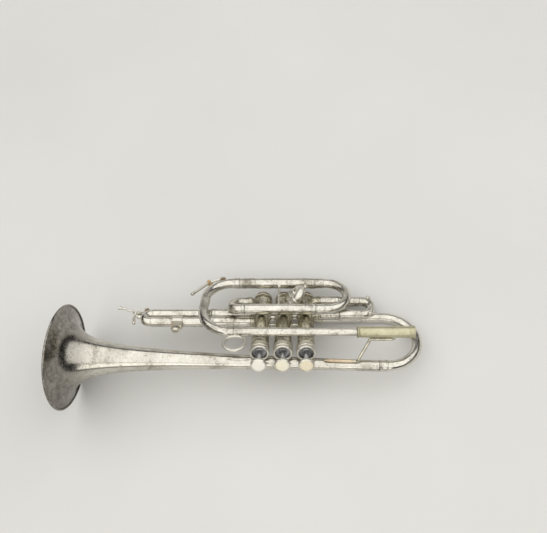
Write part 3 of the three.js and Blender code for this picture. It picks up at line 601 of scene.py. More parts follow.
def soft_fibre(name, colour_a, colour_b, scale, strength, sheen):
    """Felt or cork: matt, with fibres or granules of two tones."""
    material, tree = new_material(name)
    where = node(tree, "TexCoord").outputs["Object"]
    fibres = noise(where, scale, 8.0, 0.75, 2.0)
    grains = node(tree, "TexVoronoi", {"Vector": where, "Scale": scale * 0.5})
    colour = mix(span(fibres, 0.35, 0.7), colour_a, colour_b)
    height = plus(fibres, times(grains.outputs["Distance"], 0.6))
    bump = node(tree, "Bump", {"Height": height, "Strength": strength, "Distance": 0.0003})
    shader = node(tree, "BsdfPrincipled", {
        "Base Color": colour, "Roughness": span(fibres, 0.3, 0.7, 0.82, 0.97),
        "Normal": bump.outputs[0], "Sheen Weight": sheen,
    })
    return finish_material(material, tree, shader)


NICKEL = plated("plating", (0.74, 0.72, 0.655), (0.58, 0.555, 0.48), (0.12, 0.10, 0.07),
                (0.60, 0.46, 0.27), 0.17, tarnish=0.6, speckle=0.75)
CAST = plated("cast_plating", (0.78, 0.76, 0.69), (0.64, 0.61, 0.53), (0.16, 0.135, 0.09),
              (0.66, 0.50, 0.29), 0.30, tarnish=0.4, speckle=0.5, joint_dirt_and_shade=0.25)
# The bell's plating paints a dark reflection onto the flare near its rim.
BELL_PLATE = plated("bell_plating", (0.72, 0.70, 0.635), (0.50, 0.475, 0.41), (0.10, 0.085, 0.065),
                    (0.58, 0.46, 0.28), 0.13, tarnish=0.45, speckle=0.65,
                    flare_dark_reflection=(24.0, 50.0, (0.115, 0.10, 0.092)))
WORN_NICKEL = plated("casing_plating", (0.68, 0.65, 0.54), (0.50, 0.465, 0.36), (0.11, 0.09, 0.055),
                     (0.62, 0.50, 0.32), 0.22, tarnish=0.7, wear=0.8, speckle=0.85,
                     joint_dirt_and_shade=0.4)
RECEIVER_BRASS = plated("receiver_metal", (0.60, 0.575, 0.41), (0.50, 0.47, 0.32),
                        (0.20, 0.175, 0.10), (0.68, 0.65, 0.50), 0.34, tarnish=0.4, wear=0.3)
BRASS = plated("aged_brass", (0.66, 0.47, 0.24), (0.48, 0.32, 0.14), (0.13, 0.085, 0.04),
               (0.80, 0.62, 0.34), 0.28, tarnish=0.6, joint_dirt_and_shade=0.5)
BARE_BRASS = plated("rubbed_brass", (0.66, 0.55, 0.41), (0.54, 0.42, 0.29), (0.20, 0.13, 0.08),
                    (0.74, 0.62, 0.46), 0.28, tarnish=0.5)
# A dark plating that paints a dark reflection, used in the top caps' dishes.
DARK_REFLECTION_PLATE = plated("dark_reflection_plating", (0.33, 0.335, 0.345), (0.19, 0.19, 0.19),
                    (0.03, 0.027, 0.022), (0.40, 0.37, 0.30), 0.24, tarnish=0.6)
STEM_NICKEL = plated("stem_plating", (0.74, 0.75, 0.76), (0.62, 0.62, 0.61), (0.16, 0.15, 0.13),
                     (0.7, 0.7, 0.7), 0.30, tarnish=0.2, wear=0.2, speckle=0.3, joint_dirt_and_shade=0.25)
STEEL = plated("ground_steel", (0.58, 0.59, 0.60), (0.46, 0.46, 0.46), (0.12, 0.11, 0.10),
               (0.68, 0.68, 0.68), 0.24, tarnish=0.25, wear=0.2)
PEARLS = (
    pearl("pearl_yellow", (0.90, 0.83, 0.64), (0.80, 0.70, 0.48), (0.74, 0.62, 0.38)),
    pearl("pearl_cream", (0.95, 0.91, 0.76), (0.88, 0.81, 0.62), (0.84, 0.75, 0.53)),
    pearl("pearl_white", (0.97, 0.95, 0.86), (0.90, 0.87, 0.76), (0.87, 0.82, 0.66)),
)
FELT = soft_fibre("black_felt", (0.018, 0.018, 0.02), (0.06, 0.058, 0.06), 2600.0, 0.9, 0.4)
CORK = soft_fibre("pressed_cork", (0.24, 0.155, 0.085), (0.40, 0.28, 0.165), 1900.0, 0.8, 0.05)

SLOTS = {
    "plating": "nickel_plate", "bell_plating": "nickel_plate", "cast_plating": "nickel_plate",
    "casing_plating": "worn_nickel", "dark_reflection_plating": "nickel_plate",
    "stem_plating": "steel",
    "receiver_metal": "bare_brass_receiver", "aged_brass": "brass", "rubbed_brass": "brass",
    "ground_steel": "steel", "black_felt": "felt", "pressed_cork": "cork", "pearl_yellow": "pearl",
    "pearl_cream": "pearl", "pearl_white": "pearl",
}
FRAME_BODY = "cornet_frame"


def fit(name, shape, material, cad_node=None, body=FRAME_BODY, sharp=32):
    """A piece that stands for a CAD node, with the given material as its finish."""
    nodes = (cad_node,) if cad_node else ()
    return piece(name, shape, material, body, nodes, SLOTS[material.name], sharp)


# ------------------------------------------------------------------ bell and bell bow
def bell_radius(distance):
    return BELL_RIM_R * (BELL_FLARE_LENGTH / (BELL_FLARE_LENGTH + distance)) ** BELL_FLARE


def make_bell():
    path = Path(BELL_RIM, BELL_TAIL)
    count = 110
    distances = [path.length * (i / count) ** 2.3 for i in range(5, count + 1)]
    outer = [(d, max(bell_radius(d), TUBE_R + BELL_WALL)) for d in distances]
    inner = [(d, r - BELL_WALL) for d, r in outer]
    bead_s, bead_r, bead = -0.1, BELL_RIM_R - 0.3, 1.35
    angles = np.radians(np.linspace(243, -52, 26))
    rim = [(bead_s + bead * math.cos(a), bead_r + bead * math.sin(a)) for a in angles]
    fit("bell_shell", sweep(path, [*rim, *outer, *reversed(inner)], BELL_SIDES, 0.15),
        BELL_PLATE, "bell")


def make_bell_bow():
    start = BELL_TAIL + v(2 * GAP, 0, 0)
    ferrule = 9.0
    bend_start = start + v(ferrule + 0.6, 0, 0)
    bend_end = v(bend_start[0], BOW_TOP_Y, BOW_TOP_Z)
    bend = turn((bend_start + bend_end) / 2, bend_start, X, 180, 72)
    port = v(VALVE_X[0] + CASING_R + 11, BOW_TOP_Y, BOW_TOP_Z)
    path = Path(*chain([start, start + v(ferrule, 0, 0)], bend, [port]))
    wall = TUBE_R + 0.4
    end = path.length
    fit("bell_bow_tube", sweep(path, [
        (0, TUBE_BORE), *shifted(0, wall, [(0, 0.7), (1.2, 1.1), (1.8, 0.6), (2.2, 0.5)]),
        *shifted(ferrule, wall, [(-2.2, 0.5), (-1.8, 0.6), (-1.1, 1.1), (-0.3, 0.9), (0, 0)]),
        *shifted(end, wall, [(-5.5, 0), (-5.3, 0.5), (-0.4, 0.5), (0, 0.2)]), (end, TUBE_BORE),
    ]), NICKEL, "bell_bow")


# ------------------------------------------------------------------ leadpipe and main loop
def make_leadpipe():
    start, end = v(LOOP_X + GAP, LEAD_Y, RIGHT_Z), v(RECEIVER_X + 18, LEAD_Y, RIGHT_Z)
    path = Path(start, end)
    length = path.length
    first, last = LEAD_R + 0.6, LEAD_R - 0.4
    fit("leadpipe_tube", sweep(path, [
        (0, LEAD_R - 0.3), (0, first), (length, last), (length, 3.4),
    ]), NICKEL, "leadpipe")


def make_receiver():
    start, end = v(RECEIVER_X, LEAD_Y, RIGHT_Z), v(RECEIVER_END, LEAD_Y, RIGHT_Z)
    path = line(start, end)
    length = RECEIVER_END - RECEIVER_X
    step, seat, r = 19.0, LEAD_R + GAP, RECEIVER_R
    fit("receiver_tube", sweep(path, [
        (0, seat), *shifted(0, r, [
            (0, -0.2), (0.5, 0.3), (1.6, 0.35), (2.1, -0.2), (2.5, -0.5), (3.1, -0.5), (3.6, -0.1)]),
        *shifted(length, r, [
            (-6.4, 0.2), (-6.2, 0.45), (-5.7, 0.45), (-5.5, 0.2), (-1.9, 0.25), (-1.6, 0.75),
            (-0.3, 0.8), (0, 0.4)]),
        (length, 4.9), (step + 4, 4.2), (step, seat),
    ], VALVE_SIDES), RECEIVER_BRASS, "mouthpiece_receiver")


def make_front_bend():
    lower = v(LOOP_FRONT_X + FRONT_LOWER_R, LEAD_Y + FRONT_LOWER_R, RIGHT_Z)
    upper = v(LOOP_FRONT_X + FRONT_UPPER_R, LOOP_Y - FRONT_UPPER_R, RIGHT_Z)
    path = Path(*chain(
        [v(LOOP_X, LEAD_Y, RIGHT_Z)],
        turn(lower, v(lower[0], LEAD_Y, RIGHT_Z), -X, 90, 36),
        turn(upper, v(LOOP_FRONT_X, upper[1], RIGHT_Z), Y, 90, 34),
        [v(LOOP_X, LOOP_Y, RIGHT_Z)],
    ))
    end = path.length
    first, last, ferrule = LEAD_R + 0.6, LEAD_R + 1.3, SLEEVE_R + 0.3
    fit("front_bend_tube", sweep(path, [
        (0, first - 0.9), (0, first), (end - 6.6, last), *shifted(end, ferrule, [
            (-6.3, 0.1), (-5.2, 0.1), (-4.9, -0.2), (-1.5, -0.2), (-1.2, 0.1), (0, 0)]),
        (end, last - 0.9),
    ]), NICKEL, "front_bend")


def sleeve(start, end):
    """An outer slide sleeve with a beaded band at its open end."""
    length = np.linalg.norm(end - start)
    return lathe(start, end, [
        (0, SLEEVE_BORE), *shifted(0, SLEEVE_R, [(0, -0.1), (0.5, 0)]),
        *shifted(length, SLEEVE_R, [
            (-4.4, 0), (-4.1, 0.45), (-3.3, 0.45), (-3.0, 0.2), (-1.3, 0.2), (-1.0, 0.5),
            (-0.2, 0.45), (0, 0.2)]), (length, SLEEVE_BORE),
    ])


def make_tuning_sleeves():
    upper = v(LOOP_X + GAP, LOOP_Y, RIGHT_Z), v(TUNING_JOINT_X, LOOP_Y, RIGHT_Z)
    lower = v(ENTRY_BEND_X, LOWER_Y, RIGHT_Z), v(TUNING_JOINT_X, LOWER_Y, RIGHT_Z)
    fit("tuning_sleeve_upper_tube", sleeve(*upper), NICKEL, "tuning_sleeve_upper")
    fit("tuning_sleeve_lower_tube", sleeve(*lower), NICKEL, "tuning_sleeve_lower")


def u_tube(leg_one, leg_two, out, straight, collar_start, steps=60):
    """A hollow U of tube with a thicker collar on both legs, from collar_start up to the bend."""
    bend = turn((leg_one + leg_two) / 2 + straight * out, leg_one + straight * out, out, 180, steps)
    path = Path(*chain([leg_one], bend, [leg_two]))
    return sweep(path, mirrored([
        (0, TUBE_BORE), (0, TUBE_R),
        *shifted(collar_start, TUBE_R, [(0, 0), (0.3, 0.75), (1.3, 0.75), (1.6, 0.5)]),
        *shifted(straight, TUBE_R, [(-2.9, 0.5), (-2.6, 0.75), (-1.6, 0.75), (-1.2, 0)]),
    ], path.length))


def make_tuning_slide():
    reach = 48.0
    start = TUNING_JOINT_X - reach
    fit("tuning_slide_tube", u_tube(
        v(start, LOOP_Y, RIGHT_Z), v(start, LOWER_Y, RIGHT_Z), X,
        TUNING_BEND_X - start, reach + GAP, 80),
        NICKEL, "tuning_slide", "main_tuning_slide")


def make_entry_bend():
    start = v(ENTRY_BEND_X - GAP, LOWER_Y, RIGHT_Z)
    bend_start = v(start[0] - 4, LOWER_Y, RIGHT_Z)
    bend_end = v(bend_start[0], *ENTRY_LEG)
    bend = turn((bend_start + bend_end) / 2, bend_start, -X, 180, 60)
    path = Path(*chain([start], bend, [v(ENTRY_BEND_X + 2, *ENTRY_LEG)]))
    wall, length = TUBE_R + 0.2, path.length
    fit("entry_bend_tube", sweep(path, [
        (0, TUBE_BORE), *shifted(0, SLEEVE_R, [
            (0, 0.1), (0.8, 0.3), (1.2, 0), (2.6, 0), (2.9, 0.2), (3.5, 0.1)]), (3.8, wall),
        *shifted(length, wall, [(-2, 0), (-1.8, 0.4), (0, 0.3)]), (length, TUBE_BORE),
    ]), NICKEL, "third_valve_entry_bend")


# ------------------------------------------------------------------ valves
SECOND_OUT = v(math.cos(SECOND_ANGLE), 0, math.sin(SECOND_ANGLE))
SECOND_START = CASING_R + 5


def casing_ports():
    """For each valve, the paths of the port tubes soldered into its casing."""
    wall = CASING_R - 2.2
    x1, x3 = VALVE_X[0], VALVE_X[2]
    first = [eased_to(v(x1 + wall, y, z * 0.3), v(x1 + wall + 4, y, z), v(x1 + CASING_R + 8, y, z))
             for y, z in FIRST_LEGS]
    first.append(eased_to(
        v(x1 + wall - 1, BOW_TOP_Y, -3.5), v(x1 + wall + 3, BOW_TOP_Y, BOW_TOP_Z),
        v(x1 + CASING_R + 11 - GAP, BOW_TOP_Y, BOW_TOP_Z)))
    second = [eased_to(
        wall * SECOND_OUT + v(0, inner_y, 0), (wall + 3) * SECOND_OUT + v(0, y, 0),
        SECOND_START * SECOND_OUT + v(0, y, 0)) for y, inner_y in zip(SECOND_Y, (SECOND_Y[0], 31))]
    third = [[v(x3 - wall, y, 0), v(x3 - CASING_R - 3 + GAP, y, 0)] for y in THIRD_Y]
    third.append(eased_to(
        v(x3 - wall, *ENTRY_PORT), v(x3 - wall - 6, *ENTRY_LEG),
        v(ENTRY_BEND_X + 2 + GAP, *ENTRY_LEG)))
    return first, second, third


def port_wall(points):
    path = Path(*points)
    end, r = path.length, TUBE_R + 0.9
    return sweep(path, [
        (0, 0), (0, r), *shifted(end, r, [(-2.6, 0), (-2.4, 0.35), (-1.5, 0.35), (-1.3, 0), (0, 0)]),
        (end, 0),
    ], TUBE_SIDES, 0.2)


def make_casings():
    length, r = CASING_END - CASING_TOP, CASING_R
    for number, (x, paths) in enumerate(zip(VALVE_X, casing_ports()), 1):
        solid = lathe(v(x, CASING_TOP, 0), v(x, 0, 0), [
            (0, 0), *shifted(0, r, [
                (0, -0.3), (4.2, -0.3), (4.2, 0.75), (4.8, 0.95), (5.7, 0.95), (6.3, 0.4), (6.6, 0),
                (12.0, 0), (12.15, 0.18), (12.6, 0.18), (12.75, 0)]),
            *shifted(length, r, [
                (-8.6, 0), (-8.45, 0.18), (-8.0, 0.18), (-7.85, 0), (-3.6, 0), (-3.6, -0.3),
                (0, -0.3)]), (length, 0),
        ], VALVE_SIDES, 0.15)
        walls = [port_wall(points) for points in paths]
        bores = [cylinder(line(v(x, CASING_TOP - 2, 0), v(x, 0, 0)), 0, length + 4, CASING_BORE)]
        for points in paths:
            path = Path(*points)
            bores.append(cylinder(path, -1, path.length + 1, TUBE_BORE, 48))
        fit(f"valve_casing_{number}_body", carved([solid, *walls], bores), WORN_NICKEL,
            f"valve_casing_{number}")


def make_crossovers():
    for right, left, name, tube_y in ((0, 1, "12", 12.0), (1, 2, "23", 9.0)):
        middle = (VALVE_X[right] + VALVE_X[left]) / 2
        half = 4.65
        tube = mirrored([(0, 4.0), (0, 5.0), (1.4, 5.0), (2.4, 5.6)], 2 * half, (half, 5.9))
        fit(f"crossover_{name}_tube", lathe(v(middle - half, tube_y, 0), v(middle, tube_y, 0), tube),
            NICKEL, f"crossover_tube_{name}")
        half = 4.3
        bar = mirrored([
            (0, 0), (0, 3.2), (1.0, 3.1), (1.7, 2.3), (2.6, 1.7), (3.5, 1.75), (3.8, 2.4),
        ], 2 * half, (half, 2.6))
        fit(f"casing_stay_{name}_bar",
            lathe(v(middle - half, -6.4, 0), v(middle, -6.4, 0), bar, ROUND_SIDES),
            NICKEL, f"casing_stay_{name}")


def make_valve_caps(number, x):
    neck = CASING_R - 0.3 + GAP
    base = CASING_TOP + 3.8
    height = base - CAP_FACE
    hole = STEM_R + GAP
    path = line(v(x, base, 0), v(x, CAP_FACE, 0))
    top = sweep(path, [
        (0, neck), *shifted(0, CAP_R, [
            (0, -0.7), (0.5, -0.2), (1.1, -0.3), (1.3, -0.7), (1.6, -0.15), (2.2, 0), (5.0, 0),
            (5.6, -0.15), (5.9, -0.7), (6.3, -0.7), (6.7, -0.25), (7.8, 0)]),
        *shifted(height, CAP_R, [
            (-0.9, -0.1), (-0.2, -0.6), (0, -1.3), (-0.2, -2.2), (-0.8, -2.6), (-3.7, -2.8)]),
        *shifted(height, hole, [(-3.7, 1.6), (-4.6, 1.6)]), (height - 4.6, neck),
    ], KNURL_SIDES, 0.12, ridges=(1.9, 5.3, *CAP_KNURLS))
    fit(f"top_cap_{number}_turned", top, CAST, f"top_cap_{number}", sharp=50)
    # The cap's dish, whose dark plating paints a dark reflection into its well.
    dish = sweep(path, shifted(height, 0, [
        (-4.4, hole), (-2.5, hole), (-2.3, hole + 0.4), (-2.4, 3.9), (-3.1, 4.6), (-3.3, 6.2),
        (-3.1, CAP_R - 3.2), (-1.2, CAP_R - 2.75), (-1.2, CAP_R - 2.5), (-4.4, CAP_R - 2.6),
    ]), VALVE_SIDES, 0.12)
    fit(f"top_cap_{number}_dish", dish, DARK_REFLECTION_PLATE, sharp=50)
    floor = 3.2 + GAP
    bottom = lathe(v(x, CASING_END - 3.2, 0), v(x, CASING_END + 20, 0), [
        (0, neck), *shifted(0, CAP_R, [
            (0, -0.4), (0.4, 0), (4.0, 0), (4.4, -0.3), (4.8, -0.8), (5.4, -1.0), (6.1, -2.0)]),
        (6.8, 6.2), (7.4, 4.2), (7.9, 3.1), (8.7, 2.6), (9.4, 2.9), (10.2, 3.0), (10.9, 2.6),
        (11.2, 1.9), (11.2, 0.9), (5.6, 0.9), (floor, CAP_R - 2.4), (floor, neck),
    ], KNURL_SIDES, 0.12, ridges=(0.6, 3.8, *CAP_KNURLS))
    fit(f"bottom_cap_{number}_turned", bottom, WORN_NICKEL, f"bottom_cap_{number}", sharp=50)


def make_piston(number, x):
    body = f"valve_{number}"
    length = PISTON_END - PISTON_TOP
    flange = FLANGE_TOP - PISTON_TOP
    stem_top = BUTTON_TOP + BUTTON_LENGTH - BUTTON_WELL - PISTON_TOP
    r = PISTON_R
    turned = lathe(v(x, PISTON_TOP, 0), v(x, 0, 0), [
        (stem_top, 0), (stem_top, STEM_R), (flange, STEM_R), (flange, 6.8), (flange + 1.2, 6.8),
        (flange + 1.2, 3), (0, 3), (0, r - 0.8), (0.8, r), (length - 0.8, r), (length, r - 0.8),
        (length, 6.3), (length - 4, 6.3), (length - 4, 0),
    ], VALVE_SIDES, 0.15)
    holes = [
        cylinder(line(v(x - 12, y + tilt, 0), v(x + 12, y - tilt, 0)), 0, 24.5, 4.2, 40)
        for y, tilt in ((-7, -1.5), (4.5, 0), (16, 1.5))
    ]
    fit(f"piston_{number}_body", carved([turned], holes), STEM_NICKEL, f"piston_{number}", body)


def make_button(number, x):
    body = f"valve_{number}"
    path = line(v(x, BUTTON_TOP, 0), v(x, 0, 0))
    bore, seat = STEM_R + GAP, BUTTON_LENGTH - BUTTON_WELL - GAP
    lip = PEARL_R + 0.12
    cup = sweep(path, [
        (-0.1, lip), (-0.2, lip + 0.4), (0.05, BUTTON_R - 0.5), (0.7, BUTTON_R), (3.2, BUTTON_R),
        (3.9, BUTTON_R - 0.7), (4.4, 6.9), (4.8, 5.4), (BUTTON_LENGTH, 5.0), (BUTTON_LENGTH, bore),
        (seat, bore), (seat, 0.6), (1.4, 0.6), (1.4, lip),
    ], VALVE_SIDES, 0.15)
    fit(f"finger_button_{number}_cup", cup, CAST, f"finger_button_{number}", body)
    disc = sweep(path, [
        (1.05, 0), (1.05, PEARL_R), (0.1, PEARL_R), (-0.15, 6.9), (-0.35, 5.7), (-0.5, 3.9),
        (-0.6, 2.0), (-0.65, 0),
    ], VALVE_SIDES, 0.2)
    fit(f"button_pearl_{number}_disc", disc, PEARLS[number - 1], f"button_pearl_{number}", body)
    start = BUTTON_TOP + BUTTON_LENGTH + GAP
    felt = lathe(v(x, start, 0), v(x, 0, 0), [
        (0, bore), (0, 5.2), (0.4, 5.6), (1.0, 5.75), (1.6, 5.6), (2.2, 5.1), (2.2, bore),
    ], VALVE_SIDES, 0.2)
    fit(f"stem_felt_{number}_ring", felt, FELT, f"stem_felt_{number}", body)


def make_spring(number, x):
    wire, coil, turns, per_turn = 0.4, 4.8, 8, 28
    start = FLANGE_TOP + 1.2 + GAP + wire
    end = GUIDE_TOP - GAP - wire
    points = []
    for i in range(turns * per_turn + 1):
        a = 2 * math.pi * i / per_turn
        share = i / (turns * per_turn)
        points.append(v(x + coil * math.cos(a), start + (end - start) * share, coil * math.sin(a)))
    spring = fit(f"valve_spring_{number}_coil", rod(Path(*points), wire, 10, 0.1), STEEL,
                 f"valve_spring_{number}")
    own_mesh(spring)
    guide = lathe(v(x, GUIDE_TOP, 0), v(x, 0, 0), [
        (0, 3 + GAP), (0, CASING_BORE - GAP), (1.6, CASING_BORE - GAP), (1.6, 3 + GAP),
    ], VALVE_SIDES)
    fit(f"valve_guide_{number}_disc", guide, BRASS, f"valve_guide_{number}")


# ------------------------------------------------------------------ valve slides
def stay_between(one, two, half):
    """A small turned stay with a waist at each end and a bead in its middle."""
    path = Path(one, two)
    n = path.length
    return sweep(path, mirrored([(0, 0), *shifted(0, half, [
        (0, 0.9), (n * 0.12, 0.5), (n * 0.25, -0.35), (n * 0.42, -0.3), (n * 0.46, 0.3),
    ])], n), ROUND_SIDES, 0.4)


def sleeve_pair(name, starts, ends, node_name, metal=NICKEL):
    """Two outer sleeves side by side and the stay that joins them."""
    for label, start, end in zip("ab", starts, ends):
        fit(f"{name}_tube_{label}", sleeve(start, end), metal, node_name)
    on = [end + 0.22 * (start - end) for start, end in zip(starts, ends)]
    across = unit(on[1] - on[0])
    inset = across * (SLEEVE_R - 0.2)
    fit(f"{name}_stay", stay_between(on[0] + inset, on[1] - inset, 1.3), metal)


def make_first_slide():
    lower, upper = FIRST_LEGS
    x1 = VALVE_X[0] + CASING_R + 8 + GAP
    starts = [v(x1, *upper), v(x1, *lower)]
    ends = [v(FIRST_SLEEVE_END, *upper), v(FIRST_SLEEVE_END, *lower)]
    sleeve_pair("first_slide_sleeve", starts, ends, "first_slide_sleeves")
    inside = x1 + 3
    body = "first_valve_slide"
    fit("first_slide_bow", u_tube(
        v(inside, *upper), v(inside, *lower), X,
        FIRST_BEND_X - inside, FIRST_SLEEVE_END - inside + GAP), NICKEL, "first_slide", body)
    across = v(0, *upper) - v(0, *lower)
    middle = v(FIRST_BEND_X + np.linalg.norm(across) / 2 - 0.8, *lower) + across / 2
    reach = 14 * unit(across)
    end_one, end_two = middle + reach + v(-1.5, 0, 4), middle - reach + v(-1.5, 0, 4)
    lift = middle + v(2.6, 0, 6)
    bar = rod(Path(*chain(eased(end_one, (end_one + lift) / 2 + v(0.9, 0, 0.8), lift, 10),
                          eased(lift, (end_two + lift) / 2 + v(0.9, 0, 0.8), end_two, 10))), 1.4)
    foot = ball(middle + v(1.0, 0, 4.2), 2.2, 0.9)
    shells = [bar, foot, ball(end_one, 2.65), ball(end_two, 2.65)]
    fit("first_slide_finger_bar", fused(shells), CAST, None, body)


def make_second_slide():
    def at(y, distance):
        return distance * SECOND_OUT + v(0, y, 0)

    one, two = SECOND_Y
    start = SECOND_START + GAP
    body = "second_valve_slide"
    sleeve_pair("second_slide_sleeve", [at(two, start), at(one, start)],
                [at(two, SECOND_SLEEVE_END), at(one, SECOND_SLEEVE_END)], "second_slide_sleeves",
                CAST)
    inside = start + 0.8
    fit("second_slide_bow", u_tube(
        at(two, inside), at(one, inside), SECOND_OUT,
        SECOND_BEND - inside, SECOND_SLEEVE_END - inside + GAP),
        CAST, "second_slide", body)
    tip = at((one + two) / 2, SECOND_BEND + (two - one) / 2 + TUBE_R - 0.8)
    knob = lathe(tip, tip + SECOND_OUT, [
        (-0.4, 0), (-0.4, 2.6), (0.4, 1.9), (1.4, 1.3), (2.2, 1.35), (2.9, 2.4), (3.6, 2.85),
        (4.4, 2.9), (5.2, 2.5), (5.8, 1.6), (6.0, 0),
    ], ROUND_SIDES)
    fit("second_slide_knob", knob, CAST, None, body)


THIRD_NIPPLE_ANGLE = 62
THIRD_NIPPLE = 1.8


def third_bow(degrees, radius):
    """A point about the centre of the third slide's bow, in its plane."""
    a = math.radians(degrees)
    return v(THIRD_BEND_X - radius * math.cos(a), sum(THIRD_Y) / 2 + radius * math.sin(a), 0)


def make_third_slide():
    x3 = VALVE_X[2] - CASING_R - 3
    lower, upper = THIRD_Y
    body = "third_valve_slide"
    sleeve_pair("third_slide_sleeve", [v(x3, upper, 0), v(x3, lower, 0)],
                [v(THIRD_SLEEVE_END, upper, 0), v(THIRD_SLEEVE_END, lower, 0)],
                "third_slide_sleeves")
    inside = x3 - 3
    fit("third_slide_bow", u_tube(
        v(inside, upper, 0), v(inside, lower, 0), -X,
        inside - THIRD_BEND_X, inside - THIRD_SLEEVE_END + GAP), NICKEL, "third_slide", body)
    middle, reach = (upper + lower) / 2, (upper - lower) / 2 + TUBE_R
    tip = THIRD_BEND_X - reach + 0.8
    boss = lathe(v(tip + 0.6, middle + 0.8, 1), v(tip - 10, middle + 0.8, 1), [
        (0, 0), (0, 3.0), (1.2, 2.5), (2.2, 2.4), (2.8, 2.7), (3.9, 2.7), (4.5, 2.2), (5.1, 1.6),
        (5.1, 0),
    ], ROUND_SIDES)
    hook_x, hook_y = tip - 8.2, middle + 1.6
    hook_end = v(hook_x + 2.2, hook_y - 13.6, 2)
    hook = rod(Path(*chain(
        [v(tip - 1, hook_y - 0.2, 1.2), v(tip - 4, hook_y, 1.6)],
        eased(v(tip - 4, hook_y, 1.6), v(hook_x, hook_y, 2),
              v(hook_x + 0.8, hook_y - 5.6, 2), 14),
        [v(hook_x + 1.5, hook_y - 9.6, 2), hook_end])),
        [(0, 2.0), (6, 1.9), (15, 1.8), (18.5, 1.95)])
    end = ball(hook_end, 2.05, 0.7)
    fit("third_slide_boss_and_hook", fused([boss, hook, end]), CAST, None, body)
    nipple = third_bow(THIRD_NIPPLE_ANGLE, reach)
    fit("third_water_nipple_turned", lathe(nipple, third_bow(THIRD_NIPPLE_ANGLE, reach + 5), [
            (-0.5, 1.1), (-0.5, 3.3), (0.1, 3.0), (0.6, 2.4), (1.1, 2.12), (THIRD_NIPPLE, 2.1),
            (THIRD_NIPPLE, 1.1)], TUBE_SIDES, 0.1), NICKEL, None, body)
    clamp, width = THIRD_BEND_X + 27, 12.0
    band = lathe(v(clamp, lower, 0), v(clamp + width, lower, 0), mirrored(
        shifted(0, TUBE_R, [(0, -0.2), (0, 1.5), (0.8, 1.7), (1.4, 1.3)]), width))
    box_x = clamp + width / 2
    box = block((width, 8.4, 7), v(box_x, lower - 9.3, 2))
    slot = block((width + 2, 3, 4.2), v(box_x, lower - 10.6, 2))
    thread = rod(Path(v(box_x, lower - 16, 2), v(box_x, lower - 11, 2)), 1.5)
    tube_room = rod(Path(v(clamp - 1, lower, 0), v(clamp + width + 1, lower, 0)), TUBE_R - 0.2, 48)
    holder = evaluated(carved([band, box], [slot, thread, tube_room]), [
        ("BEVEL", {"width": 0.35, "segments": 3, "limit_method": "ANGLE",
                   "angle_limit": math.radians(50), "use_clamp_overlap": True}),
    ])
    fit("lyre_box_and_band", holder, CAST, None, body, 40)
    start = v(box_x, lower - 11.4, 2)
    screw = lathe(start, start - Y, [
        (0, 0), (0, 0.8), (0.4, 1.15), (3.0, 1.15), (3.1, 2.2), (3.4, 3.2), (3.7, 3.9),
        (4.1, 4.2), (6.6, 4.2), (7.1, 3.9), (7.5, 3.0), (7.6, 1.6), (7.6, 0),
    ], 192, 0.1, ridges=(3.8, 6.9, 32, 0.32))
    slit = block((9.5, 2.0, 1.1), start - 7.6 * Y)
    fit("lyre_screw_knurled", carved([screw], [slit]), CAST, "lyre_screw",
        "lyre_clamp_screw", 45)


# ------------------------------------------------------------------ water keys
def make_water_key(prefix, bodies, saddle_metal, pin, out, base, cork, cork_out, cup_r, tail,
                   tail_r, pad_length):
    """A lever on a pin above a tube: a cork cup at one end and a touch pad at the other."""
    key_body, saddle_body = bodies
    width = unit(np.cross(cork - pin, out))

    def at(o, w):
        return pin + o * out + w * width

    hub_half = 1.7
    ear_in = hub_half + GAP
    ear_out = ear_in + 1.2
    shells = []
    for side in (1, -1):
        shells.append(cylinder(line(pin, at(0, side)), ear_in, ear_out, 2.15, ROUND_SIDES, 0.3))
        shells.append(rod(Path(at(-base - 0.1, side * (ear_in + 0.6)),
                               at(0, side * (ear_in + 0.6))), 0.85))
        shells.append(ball(at(0, side * (ear_out + 0.2)), 0.95, 0.7, width))
    shells.append(rod(Path(at(-base, -ear_out - 0.4), at(-base, ear_out + 0.4)), 1.25))
    shells.append(rod(Path(at(0, -ear_in - 0.5), at(0, ear_in + 0.5)), 0.62))
    fit(f"{prefix}_saddle_cast", fused(shells, 0.16, 2), saddle_metal, f"{prefix}_saddle",
        saddle_body)
    hub = cylinder(line(pin, at(0, 1)), -hub_half, hub_half, 2, ROUND_SIDES, 0.3)
    clear = rod(Path(at(0, -3), at(0, 3)), 0.62 + GAP)
    bend = pin + 0.55 * (cork - pin) + 1.8 * out
    arm_end = cork + 0.6 * cork_out
    arm = rod(Path(*eased(pin, bend, arm_end, 14)), 1.45)
    tail_path = Path(*rounded_corners([pin, *tail], 0.9))
    touch, beyond = tail[-1], unit(tail[-1] - ([pin, *tail])[-2])
    pad = rod(Path(touch - beyond, touch + pad_length * beyond),
              [(0, tail_r), (1.6, tail_r + 0.15), (pad_length - 1, 2.2), (pad_length + 1, 2.1)])
    cup = lathe(cork, cork + cork_out, [
        (0.9, 0), (0.8, cup_r - 1.7), (0.5, cup_r - 0.6), (0.0, cup_r), (-1.5, cup_r),
        (-1.5, cup_r - 0.35), (-0.6, cup_r - 0.4), (-0.6, 0)], TUBE_SIDES, 0.1)
    lever = fused([hub, arm, rod(tail_path, tail_r), pad, cup], 0.18, 3)
    holed = evaluated(lever, [
        ("BOOLEAN", {"operation": "DIFFERENCE", "solver": "EXACT", "object": mesh_of([clear])})])
    fit(f"{prefix}_lever_cast", holed, CAST, f"{prefix}_lever", key_body)
    cork_pad = lathe(cork, cork + cork_out, [
        (-0.6 - GAP, 0), (-0.6 - GAP, cup_r - 0.8), (-2.4, cup_r - 0.75), (-2.6, cup_r - 0.9),
        (-2.6, 0)], TUBE_SIDES, 0.15)
    fit(f"{prefix}_cork_pad", cork_pad, CORK, f"{prefix}_cork", key_body)


